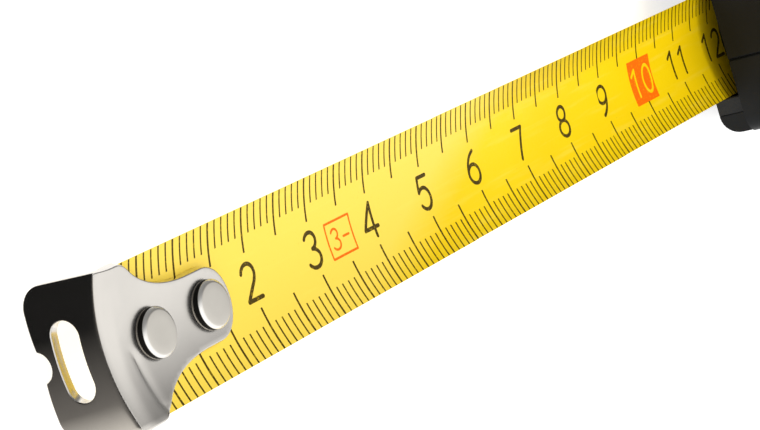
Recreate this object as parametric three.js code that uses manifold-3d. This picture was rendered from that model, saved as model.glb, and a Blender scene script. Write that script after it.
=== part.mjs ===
// A 3 m pocket tape measure with a 13 mm blade, drawn out 120 mm and locked.
//
// Frame, in millimetres: +Z is up and the case stands on z = 0. The blade leaves
// the case along +X, Y runs across it, and the origin is the middle of the case's base.

import * as THREE from 'three';
import { mergeVertices } from 'three/addons/utils/BufferGeometryUtils.js';
import Module from 'manifold-3d';

const wasm = await Module();
wasm.setup();

// ---- Driving dimensions ----

// Blade
const BLADE_CHORD = 12.6; // straight across the curved strip
const BLADE_SAG = 1.32; // how far its edges stand above its middle
const BLADE_THICKNESS = 0.14;
const DRAWN_OUT = 120; // from the scale's zero to the mouth
const STRIP_OVERLAP = 1; // the scale is carried by three lengths of strip
const STRIP_INSIDE = 3; // the last of them reaches this far into the mouth
const STRIP_GAP = 0.16; // between one strip and the next below it
const FLOAT_MARGIN = 0.25; // from the hook's plate to the strip's end, fully floated
const STRIP_SPARE = 1; // from the strip's inner end to the back wall, with the blade in
const LEAD_STEPS = 6; // the inner lead of tape, along and across
const LEAD_ACROSS = 8;

// End hook
const HOOK_THICKNESS = 1;
const HOOK_OVERHANG = 0.25; // past each edge of the blade
const HOOK_DROP = 6.5; // below the printed face at mid width
const HOOK_CLEARANCE = 0.9; // between the hook and what the case stands on
const HOOK_CORNER_RADIUS = 2.3;
const HOOK_BEND_RADIUS = 1.1; // outside
const HOOK_SHOULDER = 1.9; // full width back to here
const HOOK_SHOULDER_ROUND = 0.8;
const HOOK_WAIST = 10.5; // the hook's sides run straight from here
const HOOK_FLANK_PULL = 0.45; // where the sides' curve is drawn in, of shoulder plus waist
const LOBE_RADIUS = 3.2;
const NAIL_SLOT_LENGTH = 6.8;
const NAIL_SLOT_WIDTH = 2.8;
const NAIL_SLOT_DROP = 3.1;
const NOTCH_RADIUS = 1.3;
const NOTCH_DEPTH = 1.05;
const FRONT_RIVET = 4.3; // stations of the two rivets
const REAR_RIVET = 12.1;
const RIVET_HEAD_RADIUS = 2.1;
const RIVET_HEAD_HEIGHT = 0.85;
const RIVET_CHAMFER = 0.35;
const RIVET_SHANK_RADIUS = 0.9;
const RIVET_TAIL_RADIUS = 1.5;
const RIVET_TAIL_HEIGHT = 0.3;

// Case
const CASE_WALL = 1.8;
const CASE_EDGE = 1.8; // rounding between the rim and the sides
const SEAM = 2; // the shells part off the middle, at this y
const BROW_DEPTH = 3; // the front overhangs the mouth by this
const MOUTH_HEADROOM = 0.4; // above the hook as it passes in
const MOUTH_FOOTROOM = 0.25; // below the lowest strip
const LIP_DROP = 1.8; // the lip's underside below the blade
const CHIN_LENGTH = 12.2;
const FRONT_FACE_HEIGHT = 31; // up to the sloping face that carries the lock
const SLOPE_LENGTH = 16.6; // along X
const TOP_BACK_RADIUS = 17;
const BOTTOM_BACK_RADIUS = 6;
const CHIN_RADIUS = 8;
const LIP_RADIUS = 2.5;
const FRONT_TOP_RADIUS = 7;
const TOP_FRONT_RADIUS = 8;

// Coil, spool and return spring
const COIL_RADIUS = 17.5;
const COIL_CORE_RADIUS = 11.5;
const COIL_FLATTENING = 0.4; // the strip is this much wider where it lies flat
const COIL_X = -4;
const ROOM_BELOW = 0.8; // between the coil and the blade's edges
const ROOM_ABOVE = 4.18; // between the coil and the case, for the lock's flange
const ROOM_BEHIND = 4.7;
const ROOM_AHEAD = 14.5; // to the plane of the mouth, for the brake
const ROOM_BESIDE = 1.5; // for the sockets that hold the post
const DISC_THICKNESS = 0.7;
const BARREL_WALL = 1;
const POST_RADIUS = 3;
const WASHER_THICKNESS = 0.3;
const WASHER_REACH = 3.5; // past the post
const SOCKET_DEPTH = 1;
const SOCKET_REACH = 1.2; // past the post
const SPRING_SIDE_ROOM = 1;
const SPRING_ROOM = 0.5; // round the post and inside the barrel
const SPRING_THICKNESS = 0.3;
const SPRING_TURNS = 6;

// Lock
const LOCK_TRAVEL = 5;
const BUTTON_LENGTH = 9;
const BUTTON_WIDTH = 10;
const BUTTON_HEIGHT = 2.6;
const STEM_LENGTH = 4.4;
const STEM_WIDTH = 4.4;
const FLANGE_LENGTH = 8;
const FLANGE_WIDTH = 8;
const FLANGE_THICKNESS = 1;
const BUTTON_RIDGES = 4;
const RIDGE_HEIGHT = 0.8;
const RIDGE_MARGIN = 0.6;
const BRAKE_WIDTH = 6;
const BRAKE_THICKNESS = 1;
const BRAKE_ROOM = 0.5; // above the brow's wall
const BRAKE_TOP_DROP = 6; // below the foot of the slope
const UPRIGHT_ROOM = 0.8; // behind the front wall
const SHOE_LENGTH = 3;
const SHOE_GAP = 0.15; // over the blade
const SHOE_BEHIND_HOOK = 0.6; // with the blade in
const LEAD_BEHIND_SHOE = 0.7;

// Belt clip
const CLIP_WIDTH = 13;
const CLIP_THICKNESS = 0.8;
const CLIP_X = -4;
const CLIP_DROP = 5.5; // below the case's top
const CLIP_BASE_LENGTH = 15;
const CLIP_REACH = 33;
const CLIP_GAP = 2.8;
const CLIP_SCREW_DROP = 9;
const CLIP_SCREW_CROWN = 1; // its head's height
const CLIP_SPLIT = 0.16; // half the angle left open at the top of its bend
const CLIP_CREST = [0.5, 4.5]; // the leaf's nearest point: off the base, above its tip
const CLIP_CREST_ROUND = 1.5;
const CLIP_FLARE = 2.6; // the tip's distance off the base

// Trim and fasteners
const GRIP_THICKNESS = 1.3;
const GRIP_WIDTH = 15;
const GRIP_BACKING = 0.4; // the case's wall behind it
const GRIP_END_DROP = 12; // its front end wraps down from the top by less than this
const GRIP_FRONT = 7; // behind the top of the slope
const GRIP_REACH = 8; // deeper than the band's own thickness everywhere
const LABEL_RADIUS = 15;
const LABEL_THICKNESS = 0.5;
const BUMPER_DEPTH = 1.6;
const BUMPER_SIDE = 1.75; // on each side of the mouth
const BUMPER_BACKING = 0.1;
const BUMPER_BELOW_BROW = 0.6;
const SCREW_RADIUS = 1.1;
const SCREW_HEAD_RADIUS = 2.1;
const SCREW_HEAD_HEIGHT = 1.1;
const BOSS_WALL = 1;
const SCREW_BEHIND_CHIN = 5;
const SCREW_BACK_ROOM = 2;
const SCREW_OFF_COIL = 4;
const SCREW_TIP = 5; // short of the far side
const SCREW_EDGE = 0.3;

// Clearances
const FIT = 0.1; // between pieces that don't move on each other
const RUNNING = 0.3; // between pieces that do
const SEAT = 0.05; // under a rivet or a plate that is drawn up tight
const PAST = 1; // how far cutting solids run past the faces they cut

// ---- Derived places ----

const HOOK_WIDTH = BLADE_CHORD + 2 * HOOK_OVERHANG;
const BLADE_HEIGHT = HOOK_DROP + HOOK_CLEARANCE; // its printed face at mid width
const EDGE_Z = BLADE_HEIGHT + BLADE_SAG;

const COIL_WIDTH = BLADE_CHORD + COIL_FLATTENING;
const SPRING_WIDTH = COIL_WIDTH - 2 * SPRING_SIDE_ROOM;
const COIL_Z = EDGE_Z + ROOM_BELOW + COIL_RADIUS;
const DISC_INNER = COIL_WIDTH / 2 + FIT;
const WASHER_INNER = DISC_INNER + DISC_THICKNESS + FIT;
const BARREL_RADIUS = COIL_CORE_RADIUS - FIT;

const RIM_WALL = GRIP_THICKNESS + FIT + GRIP_BACKING;
const FRONT_WALL = BUMPER_DEPTH + FIT + BUMPER_BACKING;
const INNER_HALF = WASHER_INNER + WASHER_THICKNESS + ROOM_BESIDE;
const HALF_WIDTH = INNER_HALF + CASE_WALL;
const CASE_HEIGHT = COIL_Z + COIL_RADIUS + ROOM_ABOVE + RIM_WALL;
const CASE_BACK = COIL_RADIUS - COIL_X + ROOM_BEHIND + RIM_WALL; // origin to the back
const CASE_FRONT = COIL_X + COIL_RADIUS + ROOM_AHEAD; // origin to the plane of the mouth
const FRONT_X = CASE_FRONT + BROW_DEPTH;
const SLOPE_TOP_X = FRONT_X - SLOPE_LENGTH;

const ZERO_X = CASE_FRONT + DRAWN_OUT; // the scale's zero, at the hook's inner face
const BLADE_END = HOOK_THICKNESS + FLOAT_MARGIN; // the hook floats by its own thickness
const STRIP_STEP = BLADE_THICKNESS + STRIP_GAP;
const STANDOFF = HOOK_THICKNESS + RUNNING; // mouth to hook with the blade fully in
const FRONT_LENGTH = CASE_FRONT + CASE_BACK - RIM_WALL + STANDOFF - STRIP_SPARE;
const FOLLOWING_LENGTH = (DRAWN_OUT + STRIP_INSIDE - FRONT_LENGTH) / 2 + STRIP_OVERLAP;
const MOUTH_HALF = HOOK_WIDTH / 2 + RUNNING;
const MOUTH_FLOOR = BLADE_HEIGHT - 2 * STRIP_STEP - BLADE_THICKNESS - MOUTH_FOOTROOM;
const LIP_Z = BLADE_HEIGHT - LIP_DROP;
const BROW_Z = EDGE_Z + HOOK_THICKNESS + MOUTH_HEADROOM;
const BUMPER_HALF = MOUTH_HALF + BUMPER_SIDE;
const SHOE_FRONT = CASE_FRONT - REAR_RIVET - LOBE_RADIUS - SHOE_BEHIND_HOOK;
const BRAKE_FOOT_Z = BROW_Z - FIT + CASE_WALL + BRAKE_ROOM;
const CLIP_TOP = CASE_HEIGHT - CLIP_DROP;
const CLIP_SEAT = HALF_WIDTH + SEAT;

// ---- Materials ----

const finish = (color, roughness, metalness) => new THREE.MeshStandardMaterial({
  color,
  roughness,
  metalness,
});
const blackPlastic = () => finish(0x15171a, 0.55, 0);
const blackRubber = () => finish(0x101212, 0.8, 0);
const yellowPaint = () => finish(0xf8dd1c, 0.35, 0);
const nickel = () => finish(0xc9c5be, 0.28, 1);
const springSteel = () => finish(0x5c6066, 0.35, 1);
const zincScrew = () => finish(0x9a9c9e, 0.35, 1);
const whitePlastic = () => finish(0xd9d8d0, 0.45, 0);
const labelFilm = () => finish(0x2b2e31, 0.3, 0);

// ---- Solids ----

function toSolid(geometry) {
  const bare = geometry.clone();
  bare.deleteAttribute('normal');
  bare.deleteAttribute('uv');
  const merged = mergeVertices(bare);
  return new wasm.Manifold(new wasm.Mesh({
    numProp: 3,
    vertProperties: new Float32Array(merged.attributes.position.array),
    triVerts: new Uint32Array(merged.index.array),
  }));
}

function toGeometry(solid) {
  const { vertProperties, triVerts } = solid.getMesh();
  const indexed = new THREE.BufferGeometry();
  indexed.setAttribute('position', new THREE.BufferAttribute(vertProperties, 3));
  indexed.setIndex(new THREE.BufferAttribute(triVerts, 1));
  const geometry = indexed.toNonIndexed();
  geometry.computeVertexNormals();
  return geometry;
}

function box(x0, x1, y0, y1, z0, z1) {
  const geometry = new THREE.BoxGeometry(x1 - x0, y1 - y0, z1 - z0);
  geometry.translate((x0 + x1) / 2, (y0 + y1) / 2, (z0 + z1) / 2);
  return toSolid(geometry);
}

// A shape drawn in X and Z, extruded from y0 to y1.
function alongY(shape, y0, y1, options = {}) {
  const bevel = options.bevel ?? 0;
  const geometry = new THREE.ExtrudeGeometry(shape, {
    depth: y1 - y0 - 2 * bevel,
    steps: options.steps ?? 1,
    curveSegments: options.curveSegments ?? 8,
    bevelEnabled: bevel > 0,
    bevelSize: bevel,
    bevelThickness: bevel,
    bevelOffset: -bevel,
    bevelSegments: 2,
  });
  geometry.rotateX(Math.PI / 2);
  geometry.translate(0, y1 - bevel, 0);
  return geometry;
}

const plainExtrusion = (shape, depth) => new THREE.ExtrudeGeometry(shape, {
  depth,
  bevelEnabled: false,
  curveSegments: 8,
});

// A shape drawn in Y and Z, extruded from x0 to x1.
function alongX(shape, x0, x1) {
  const geometry = plainExtrusion(shape, x1 - x0);
  const axes = new THREE.Matrix4().makeBasis(
    new THREE.Vector3(0, 1, 0),
    new THREE.Vector3(0, 0, 1),
    new THREE.Vector3(1, 0, 0),
  );
  geometry.applyMatrix4(axes);
  geometry.translate(x0, 0, 0);
  return geometry;
}

// A shape drawn in X and Y, extruded from z0 to z1.
function alongZ(shape, z0, z1) {
  const geometry = plainExtrusion(shape, z1 - z0);
  geometry.translate(0, 0, z0);
  return geometry;
}

// A solid turned about the Y axis through (x, z), from pairs of radius and y.
function turnedY(profile, x, z, segments = 48) {
  const points = profile.map(([radius, y]) => new THREE.Vector2(radius, y));
  const geometry = new THREE.LatheGeometry(points, segments);
  geometry.translate(x, 0, z);
  return geometry;
}

function ring(inner, outer, y0, y1, x, z, segments) {
  return turnedY([[inner, y0], [outer, y0], [outer, y1], [inner, y1], [inner, y0]], x, z, segments);
}

function rod(radius, y0, y1, x, z, segments = 20) {
  return turnedY([[0, y0], [radius, y0], [radius, y1], [0, y1]], x, z, segments);
}

// A closed outline through corners of [a, b, radius], drawn counter-clockwise and
// moved inwards by inset, with its convex corners rounded by what the inset leaves.
function outline(corners, inset = 0) {
  const count = corners.length;
  const points = corners.map(([a, b]) => new THREE.Vector2(a, b));
  const edges = points.map((point, i) => {
    const direction = points[(i + 1) % count].clone().sub(point).normalize();
    const inward = new THREE.Vector2(-direction.y, direction.x);
    return { start: point.clone().addScaledVector(inward, inset), direction };
  });
  const moved = edges.map((edge, i) => {
    const last = edges[(i + count - 1) % count];
    const across = last.direction.cross(edge.direction);
    const along = edge.start.clone().sub(last.start).cross(edge.direction) / across;
    return last.start.clone().addScaledVector(last.direction, along);
  });
  const shape = new THREE.Shape();
  moved.forEach((corner, i) => {
    const before = edges[(i + count - 1) % count].direction;
    const after = edges[i].direction;
    const turn = Math.atan2(before.cross(after), before.dot(after));
    const radius = turn > 0 ? corners[i][2] - inset : corners[i][2];
    if (radius <= 0.05) {
      if (i === 0) shape.moveTo(corner.x, corner.y);
      else shape.lineTo(corner.x, corner.y);
      return;
    }
    const setback = radius * Math.tan(Math.abs(turn) / 2);
    const tangent = corner.clone().addScaledVector(before, -setback);
    const side = Math.sign(turn);
    const inward = new THREE.Vector2(-before.y, before.x);
    const centre = tangent.clone().addScaledVector(inward, radius * side);
    const from = Math.atan2(tangent.y - centre.y, tangent.x - centre.x);
    if (i === 0) shape.moveTo(tangent.x, tangent.y);
    else shape.lineTo(tangent.x, tangent.y);
    shape.absarc(centre.x, centre.y, radius, from, from + turn, turn < 0);
  });
  shape.closePath();
  return shape;
}

const rectangle = (a0, a1, b0, b1, radius = 0) => outline([
  [a0, b0, radius],
  [a1, b0, radius],
  [a1, b1, radius],
  [a0, b1, radius],
]);

// ---- Blade ----

// How far the curved strip rises at y.
const bladeRise = (y) => BLADE_SAG * (2 * y / BLADE_CHORD) ** 2;

// The strip's section, from bottom to top above the printed face at mid width.
function curvedSection(bottom, top, halfWidth, sag = BLADE_SAG, segments = 14) {
  const shape = new THREE.Shape();
  const rise = (y) => sag * (2 * y / BLADE_CHORD) ** 2;
  const stations = Array.from({ length: segments + 1 }, (_, i) => halfWidth * (2 * i / segments - 1));
  stations.forEach((y, i) => {
    if (i === 0) shape.moveTo(y, bottom + rise(y));
    else shape.lineTo(y, bottom + rise(y));
  });
  stations.reverse().forEach((y) => shape.lineTo(y, top + rise(y)));
  shape.closePath();
  return shape;
}

// A length of blade between two distances from the scale's zero; each level lies one step lower.
function strip(nearStation, farStation, level) {
  const top = BLADE_HEIGHT - level * STRIP_STEP;
  const section = curvedSection(top - BLADE_THICKNESS, top, BLADE_CHORD / 2);
  return alongX(section, ZERO_X - farStation, ZERO_X - nearStation);
}

function bladeFront() {
  let solid = toSolid(strip(BLADE_END, FRONT_LENGTH, 0));
  for (const station of [FRONT_RIVET, REAR_RIVET]) {
    const radius = RIVET_SHANK_RADIUS + FIT;
    const hole = new THREE.CylinderGeometry(radius, radius, 4 * PAST, 20);
    hole.rotateX(Math.PI / 2);
    hole.translate(ZERO_X - station, 0, BLADE_HEIGHT);
    solid = solid.subtract(toSolid(hole));
  }
  return toGeometry(solid);
}

function bladeMiddle() {
  const start = FRONT_LENGTH - STRIP_OVERLAP;
  return strip(start, start + FOLLOWING_LENGTH, 1);
}

function bladeRear() {
  const start = FRONT_LENGTH + FOLLOWING_LENGTH - 2 * STRIP_OVERLAP;
  return strip(start, start + FOLLOWING_LENGTH, 2);
}

// The tape inside the case, flattening out as it rises to meet the coil.
function tapeLead() {
  const startX = SHOE_FRONT - SHOE_LENGTH - LEAD_BEHIND_SHOE;
  const endZ = COIL_Z - COIL_RADIUS - SEAT - 0.03;
  const startZ = BLADE_HEIGHT + STRIP_STEP;
  const steps = LEAD_STEPS;
  const across = LEAD_ACROSS;
  const position = [];
  const index = [];
  const rowSize = 2 * (across + 1);
  for (let i = 0; i <= steps; i += 1) {
    const share = i / steps;
    const ease = share * share * (3 - 2 * share);
    const x = startX + (COIL_X - startX) * share;
    const middle = startZ + (endZ - startZ) * ease;
    for (const face of [0, -BLADE_THICKNESS]) {
      for (let j = 0; j <= across; j += 1) {
        const y = BLADE_CHORD * (j / across - 0.5);
        position.push(x, y, middle + face + bladeRise(y) * (1 - ease));
      }
    }
  }
  const quad = (a, b, c, d) => index.push(a, b, c, a, c, d);
  for (let i = 0; i < steps; i += 1) {
    const here = i * rowSize;
    const next = here + rowSize;
    const under = across + 1;
    for (let j = 0; j < across; j += 1) {
      quad(here + j, here + j + 1, next + j + 1, next + j);
      quad(here + under + j + 1, here + under + j, next + under + j, next + under + j + 1);
    }
    quad(here + under, here, next, next + under);
    quad(here + across, here + under + across, next + under + across, next + across);
  }
  for (const [row, flip] of [[0, false], [steps * rowSize, true]]) {
    for (let j = 0; j < across; j += 1) {
      const a = row + j;
      const b = row + j + 1;
      const c = b + across + 1;
      const d = a + across + 1;
      if (flip) quad(a, b, c, d);
      else quad(d, c, b, a);
    }
  }
  const geometry = new THREE.BufferGeometry();
  geometry.setAttribute('position', new THREE.Float32BufferAttribute(position, 3));
  geometry.setIndex(index);
  return geometry;
}

// ---- End hook ----

// The bent sheet seen from the side, from its inner end to its lower edge.
function hookProfile() {
  const inner = ZERO_X;
  const outer = ZERO_X + HOOK_THICKNESS;
  const top = HOOK_THICKNESS;
  const tail = ZERO_X - REAR_RIVET - LOBE_RADIUS - PAST;
  const foot = -HOOK_DROP - PAST;
  return outline([
    [tail, SEAT, 0],
    [inner, SEAT, 0],
    [inner, foot, 0],
    [outer, foot, 0],
    [outer, top, HOOK_BEND_RADIUS],
    [tail, top, 0],
  ]);
}

function hookSheet() {
  const half = HOOK_WIDTH / 2 + 0.5 * PAST;
  const geometry = alongY(hookProfile(), -half, half, { steps: 18, curveSegments: 5 });
  const position = geometry.attributes.position;
  for (let i = 0; i < position.count; i += 1) {
    position.setZ(i, position.getZ(i) + BLADE_HEIGHT + bladeRise(position.getY(i)));
  }
  return toSolid(geometry);
}

// The hook seen from above: full width at the end, a waist, and a round lobe.
function hookPlan() {
  const half = HOOK_WIDTH / 2;
  const shape = new THREE.Shape();
  const shoulder = ZERO_X - HOOK_SHOULDER;
  const waist = ZERO_X - HOOK_WAIST;
  const pull = ZERO_X - (HOOK_SHOULDER + HOOK_WAIST) * HOOK_FLANK_PULL;
  const lobe = ZERO_X - REAR_RIVET;
  shape.moveTo(ZERO_X + HOOK_THICKNESS + PAST, -half);
  shape.lineTo(ZERO_X + HOOK_THICKNESS + PAST, half);
  shape.lineTo(shoulder + HOOK_SHOULDER_ROUND, half);
  const round = HOOK_SHOULDER_ROUND;
  shape.quadraticCurveTo(shoulder, half, shoulder - round, half - round);
  shape.quadraticCurveTo(pull, LOBE_RADIUS, waist, LOBE_RADIUS);
  shape.lineTo(lobe, LOBE_RADIUS);
  shape.absarc(lobe, 0, LOBE_RADIUS, Math.PI / 2, 3 * Math.PI / 2, false);
  shape.lineTo(waist, -LOBE_RADIUS);
  shape.quadraticCurveTo(pull, -LOBE_RADIUS, shoulder - round, -half + round);
  shape.quadraticCurveTo(shoulder, -half, shoulder + round, -half);
  shape.closePath();
  return toSolid(alongZ(shape, 0, EDGE_Z + 2 * HOOK_THICKNESS + PAST));
}

// The hook seen from its end: round lower corners and open above.
function hookEndOutline() {
  const half = HOOK_WIDTH / 2;
  const foot = BLADE_HEIGHT - HOOK_DROP;
  const above = EDGE_Z + 2 * HOOK_THICKNESS + PAST;
  const shape = outline([
    [-half, foot, HOOK_CORNER_RADIUS],
    [half, foot, HOOK_CORNER_RADIUS],
    [half, above, 0],
    [-half, above, 0],
  ]);
  const inner = ZERO_X - REAR_RIVET - LOBE_RADIUS - PAST;
  return toSolid(alongX(shape, inner, ZERO_X + HOOK_THICKNESS + PAST));
}

// A radius that rounds a slot's whole end, but keeps its arcs from meeting.
const roundEnd = (radius) => radius - 0.01;

function slotAlongX(length, width, z) {
  const shape = rectangle(-length / 2, length / 2, z - width / 2, z + width / 2, roundEnd(width / 2));
  return toSolid(alongX(shape, ZERO_X - PAST, ZERO_X + HOOK_THICKNESS + PAST));
}

// Each rivet's hole is long enough for the hook to slide by its own thickness.
function floatSlot(station) {
  const radius = RIVET_SHANK_RADIUS + FIT;
  const x = ZERO_X - station;
  const far = x + radius + HOOK_THICKNESS;
  const shape = rectangle(x - radius, far, -radius, radius, roundEnd(radius));
  return toSolid(alongZ(shape, BLADE_HEIGHT - PAST, EDGE_Z + 2 * HOOK_THICKNESS));
}

function endHook() {
  const foot = BLADE_HEIGHT - HOOK_DROP;
  const notch = new THREE.CylinderGeometry(NOTCH_RADIUS, NOTCH_RADIUS, 4 * HOOK_THICKNESS, 24);
  notch.rotateZ(Math.PI / 2);
  notch.translate(ZERO_X, 0, foot + NOTCH_DEPTH - NOTCH_RADIUS);
  const solid = hookSheet()
    .intersect(hookPlan())
    .intersect(hookEndOutline())
    .subtract(toSolid(notch))
    .subtract(slotAlongX(NAIL_SLOT_LENGTH, NAIL_SLOT_WIDTH, BLADE_HEIGHT - NAIL_SLOT_DROP))
    .subtract(floatSlot(FRONT_RIVET))
    .subtract(floatSlot(REAR_RIVET));
  return toGeometry(solid);
}

function hookRivet(station) {
  const seat = BLADE_HEIGHT + HOOK_THICKNESS + bladeRise(RIVET_HEAD_RADIUS) + SEAT;
  const top = seat + RIVET_HEAD_HEIGHT;
  const tail = BLADE_HEIGHT - BLADE_THICKNESS - SEAT;
  const profile = [
    [0, tail - RIVET_TAIL_HEIGHT],
    [RIVET_TAIL_RADIUS, tail - RIVET_TAIL_HEIGHT],
    [RIVET_TAIL_RADIUS, tail],
    [RIVET_SHANK_RADIUS, tail],
    [RIVET_SHANK_RADIUS, seat],
    [RIVET_HEAD_RADIUS, seat],
    [RIVET_HEAD_RADIUS, top - RIVET_CHAMFER],
    [RIVET_HEAD_RADIUS - RIVET_CHAMFER, top],
    [0, top],
  ];
  const geometry = new THREE.LatheGeometry(profile.map(([r, z]) => new THREE.Vector2(r, z)), 32);
  geometry.rotateX(Math.PI / 2);
  geometry.translate(ZERO_X - station, 0, 0);
  return geometry;
}

// ---- Case ----

// The case seen from the side before the mouth is cut, counter-clockwise from the chin.
const caseCorners = () => [
  [CASE_FRONT - CHIN_LENGTH, 0, CHIN_RADIUS],
  [FRONT_X, LIP_Z * (1 + BROW_DEPTH / CHIN_LENGTH), LIP_RADIUS],
  [FRONT_X, FRONT_FACE_HEIGHT, FRONT_TOP_RADIUS],
  [SLOPE_TOP_X, CASE_HEIGHT, TOP_FRONT_RADIUS],
  [-CASE_BACK, CASE_HEIGHT, TOP_BACK_RADIUS],
  [-CASE_BACK, 0, BOTTOM_BACK_RADIUS],
];

// Where the four case screws run through from side to side.
const screwPlaces = () => {
  const inset = RIM_WALL + SCREW_RADIUS + BOSS_WALL;
  const offCoil = COIL_RADIUS + SCREW_OFF_COIL;
  return [
    [CASE_FRONT - CHIN_LENGTH - SCREW_BEHIND_CHIN, inset],
    [-CASE_BACK + inset + SCREW_BACK_ROOM, inset],
    [COIL_X - 0.8 * offCoil, COIL_Z + 0.6 * offCoil],
    [SLOPE_TOP_X - SCREW_BEHIND_CHIN, CASE_HEIGHT - inset - 2 * RUNNING],
  ];
};

// The sloping face's frame: its middle, and unit vectors along it and out of it.
function slopeFrame() {
  const low = new THREE.Vector2(FRONT_X, FRONT_FACE_HEIGHT);
  const high = new THREE.Vector2(SLOPE_TOP_X, CASE_HEIGHT);
  const up = high.clone().sub(low).normalize();
  return { middle: low.add(high).multiplyScalar(0.5), up, out: new THREE.Vector2(up.y, -up.x) };
}

// A box in the slope's frame: along it, across the case, and out of it.
function slopeBox(along0, along1, halfWidth, out0, out1) {
  const { middle, up, out } = slopeFrame();
  const geometry = new THREE.BoxGeometry(along1 - along0, 2 * halfWidth, out1 - out0);
  geometry.translate((along0 + along1) / 2, 0, (out0 + out1) / 2);
  const axes = new THREE.Matrix4().makeBasis(
    new THREE.Vector3(up.x, 0, up.y),
    new THREE.Vector3(0, -1, 0),
    new THREE.Vector3(out.x, 0, out.y),
  );
  geometry.applyMatrix4(axes);
  geometry.translate(middle.x, 0, middle.y);
  return toSolid(geometry);
}

// The button rests low on the slope, where it locks, and slides up to let go.
const buttonStart = -(BUTTON_LENGTH + LOCK_TRAVEL) / 2;
const stemStart = buttonStart + (BUTTON_LENGTH - STEM_LENGTH) / 2;
const flangeStart = buttonStart + (BUTTON_LENGTH - FLANGE_LENGTH) / 2;

function lockSlot() {
  const end = stemStart + STEM_LENGTH + LOCK_TRAVEL + RUNNING;
  return slopeBox(stemStart - RUNNING, end, STEM_WIDTH / 2 + RUNNING, -2 * RIM_WALL, BUTTON_HEIGHT);
}

function gripBand(clearance) {
  const inset = GRIP_THICKNESS + clearance;
  const half = GRIP_WIDTH / 2 + clearance;
  const outer = toSolid(alongY(outline(caseCorners()), -half, half));
  const inner = toSolid(alongY(outline(caseCorners(), inset), -half - PAST, half + PAST));
  const low = BOTTOM_BACK_RADIUS - clearance;
  const step = CASE_HEIGHT - GRIP_END_DROP;
  const front = SLOPE_TOP_X - GRIP_FRONT + clearance;
  const keep = toSolid(alongY(outline([
    [-CASE_BACK - PAST, low, 0],
    [-CASE_BACK + GRIP_REACH, low, 0],
    [-CASE_BACK + GRIP_REACH, step, 0],
    [front, step, 0],
    [front, CASE_HEIGHT + PAST, 0],
    [-CASE_BACK - PAST, CASE_HEIGHT + PAST, 0],
  ]), -half, half));
  return outer.subtract(inner).intersect(keep);
}

// The step under the brow, grown by the wall where it bounds the cavity.
function underBrow(wall) {
  const side = HALF_WIDTH + PAST;
  return box(CASE_FRONT - wall, FRONT_X + PAST, -side, side, -PAST, BROW_Z + wall);
}

// The rubber frame round the lower part of the mouth, which takes the hook's knock.
function bumper(clearance) {
  const half = BUMPER_HALF + clearance;
  const back = CASE_FRONT - BUMPER_DEPTH - clearance;
  const front = CASE_FRONT + (clearance > 0 ? PAST : 0);
  const block = box(back, front, -half, half, 0, BROW_Z - BUMPER_BELOW_BROW + clearance);
  return toSolid(alongY(outline(caseCorners()), -half, half)).intersect(block);
}

function mouthCut() {
  const back = CASE_FRONT - FRONT_WALL - PAST;
  return box(back, FRONT_X + PAST, -MOUTH_HALF, MOUTH_HALF, MOUTH_FLOOR, BROW_Z);
}

function mouthBumper() {
  return toGeometry(bumper(0).subtract(mouthCut()));
}

// A round bar or hole from side to side at a screw's place.
const screwBar = (radius, y0, y1, [x, z]) => toSolid(rod(radius, y0, y1, x, z));

const ordered = (a, b) => [Math.min(a, b), Math.max(a, b)];

function postSocket(end) {
  const [y0, y1] = ordered(end * (INNER_HALF - SOCKET_DEPTH), end * (INNER_HALF + 0.5 * PAST));
  return toSolid(ring(POST_RADIUS + FIT, POST_RADIUS + SOCKET_REACH, y0, y1, COIL_X, COIL_Z));
}

function labelRecess() {
  const y1 = -HALF_WIDTH + LABEL_THICKNESS + FIT;
  return toSolid(rod(LABEL_RADIUS + FIT, -HALF_WIDTH - PAST, y1, COIL_X, COIL_Z, 48));
}

function clipScrewHole() {
  const y0 = INNER_HALF - PAST;
  return screwBar(SCREW_RADIUS + FIT, y0, HALF_WIDTH + PAST, [CLIP_X, CLIP_TOP - CLIP_SCREW_DROP]);
}

function caseShell(side) {
  const [y0, y1] = side < 0 ? [-HALF_WIDTH - PAST, SEAM] : [SEAM + FIT, HALF_WIDTH + PAST];
  const bevel = { bevel: CASE_EDGE };
  const body = toSolid(alongY(outline(caseCorners()), -HALF_WIDTH, HALF_WIDTH, bevel));
  const cavity = toSolid(alongY(outline(caseCorners(), RIM_WALL), -INNER_HALF, INNER_HALF));
  let solid = body.subtract(underBrow(0)).subtract(cavity.subtract(underBrow(FRONT_WALL)));
  const barEnd = INNER_HALF + 0.5 * CASE_WALL;
  const outside = HALF_WIDTH + PAST;
  for (const place of screwPlaces()) {
    const seat = HALF_WIDTH - SCREW_HEAD_HEIGHT - FIT;
    solid = solid.add(screwBar(SCREW_RADIUS + BOSS_WALL, -barEnd, barEnd, place));
    solid = solid.subtract(screwBar(SCREW_RADIUS + FIT, -HALF_WIDTH + SCREW_TIP - PAST, outside, place));
    solid = solid.subtract(screwBar(SCREW_HEAD_RADIUS + FIT, seat, outside, place));
  }
  return toGeometry(solid
    .add(postSocket(-1))
    .add(postSocket(1))
    .subtract(mouthCut())
    .subtract(bumper(FIT))
    .subtract(gripBand(FIT))
    .subtract(lockSlot())
    .subtract(labelRecess())
    .subtract(clipScrewHole())
    .intersect(box(-CASE_BACK - PAST, FRONT_X + PAST, y0, y1, -PAST, CASE_HEIGHT + PAST)));
}

function sideLabel() {
  return rod(LABEL_RADIUS, -HALF_WIDTH, -HALF_WIDTH + LABEL_THICKNESS, COIL_X, COIL_Z, 48);
}

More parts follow.
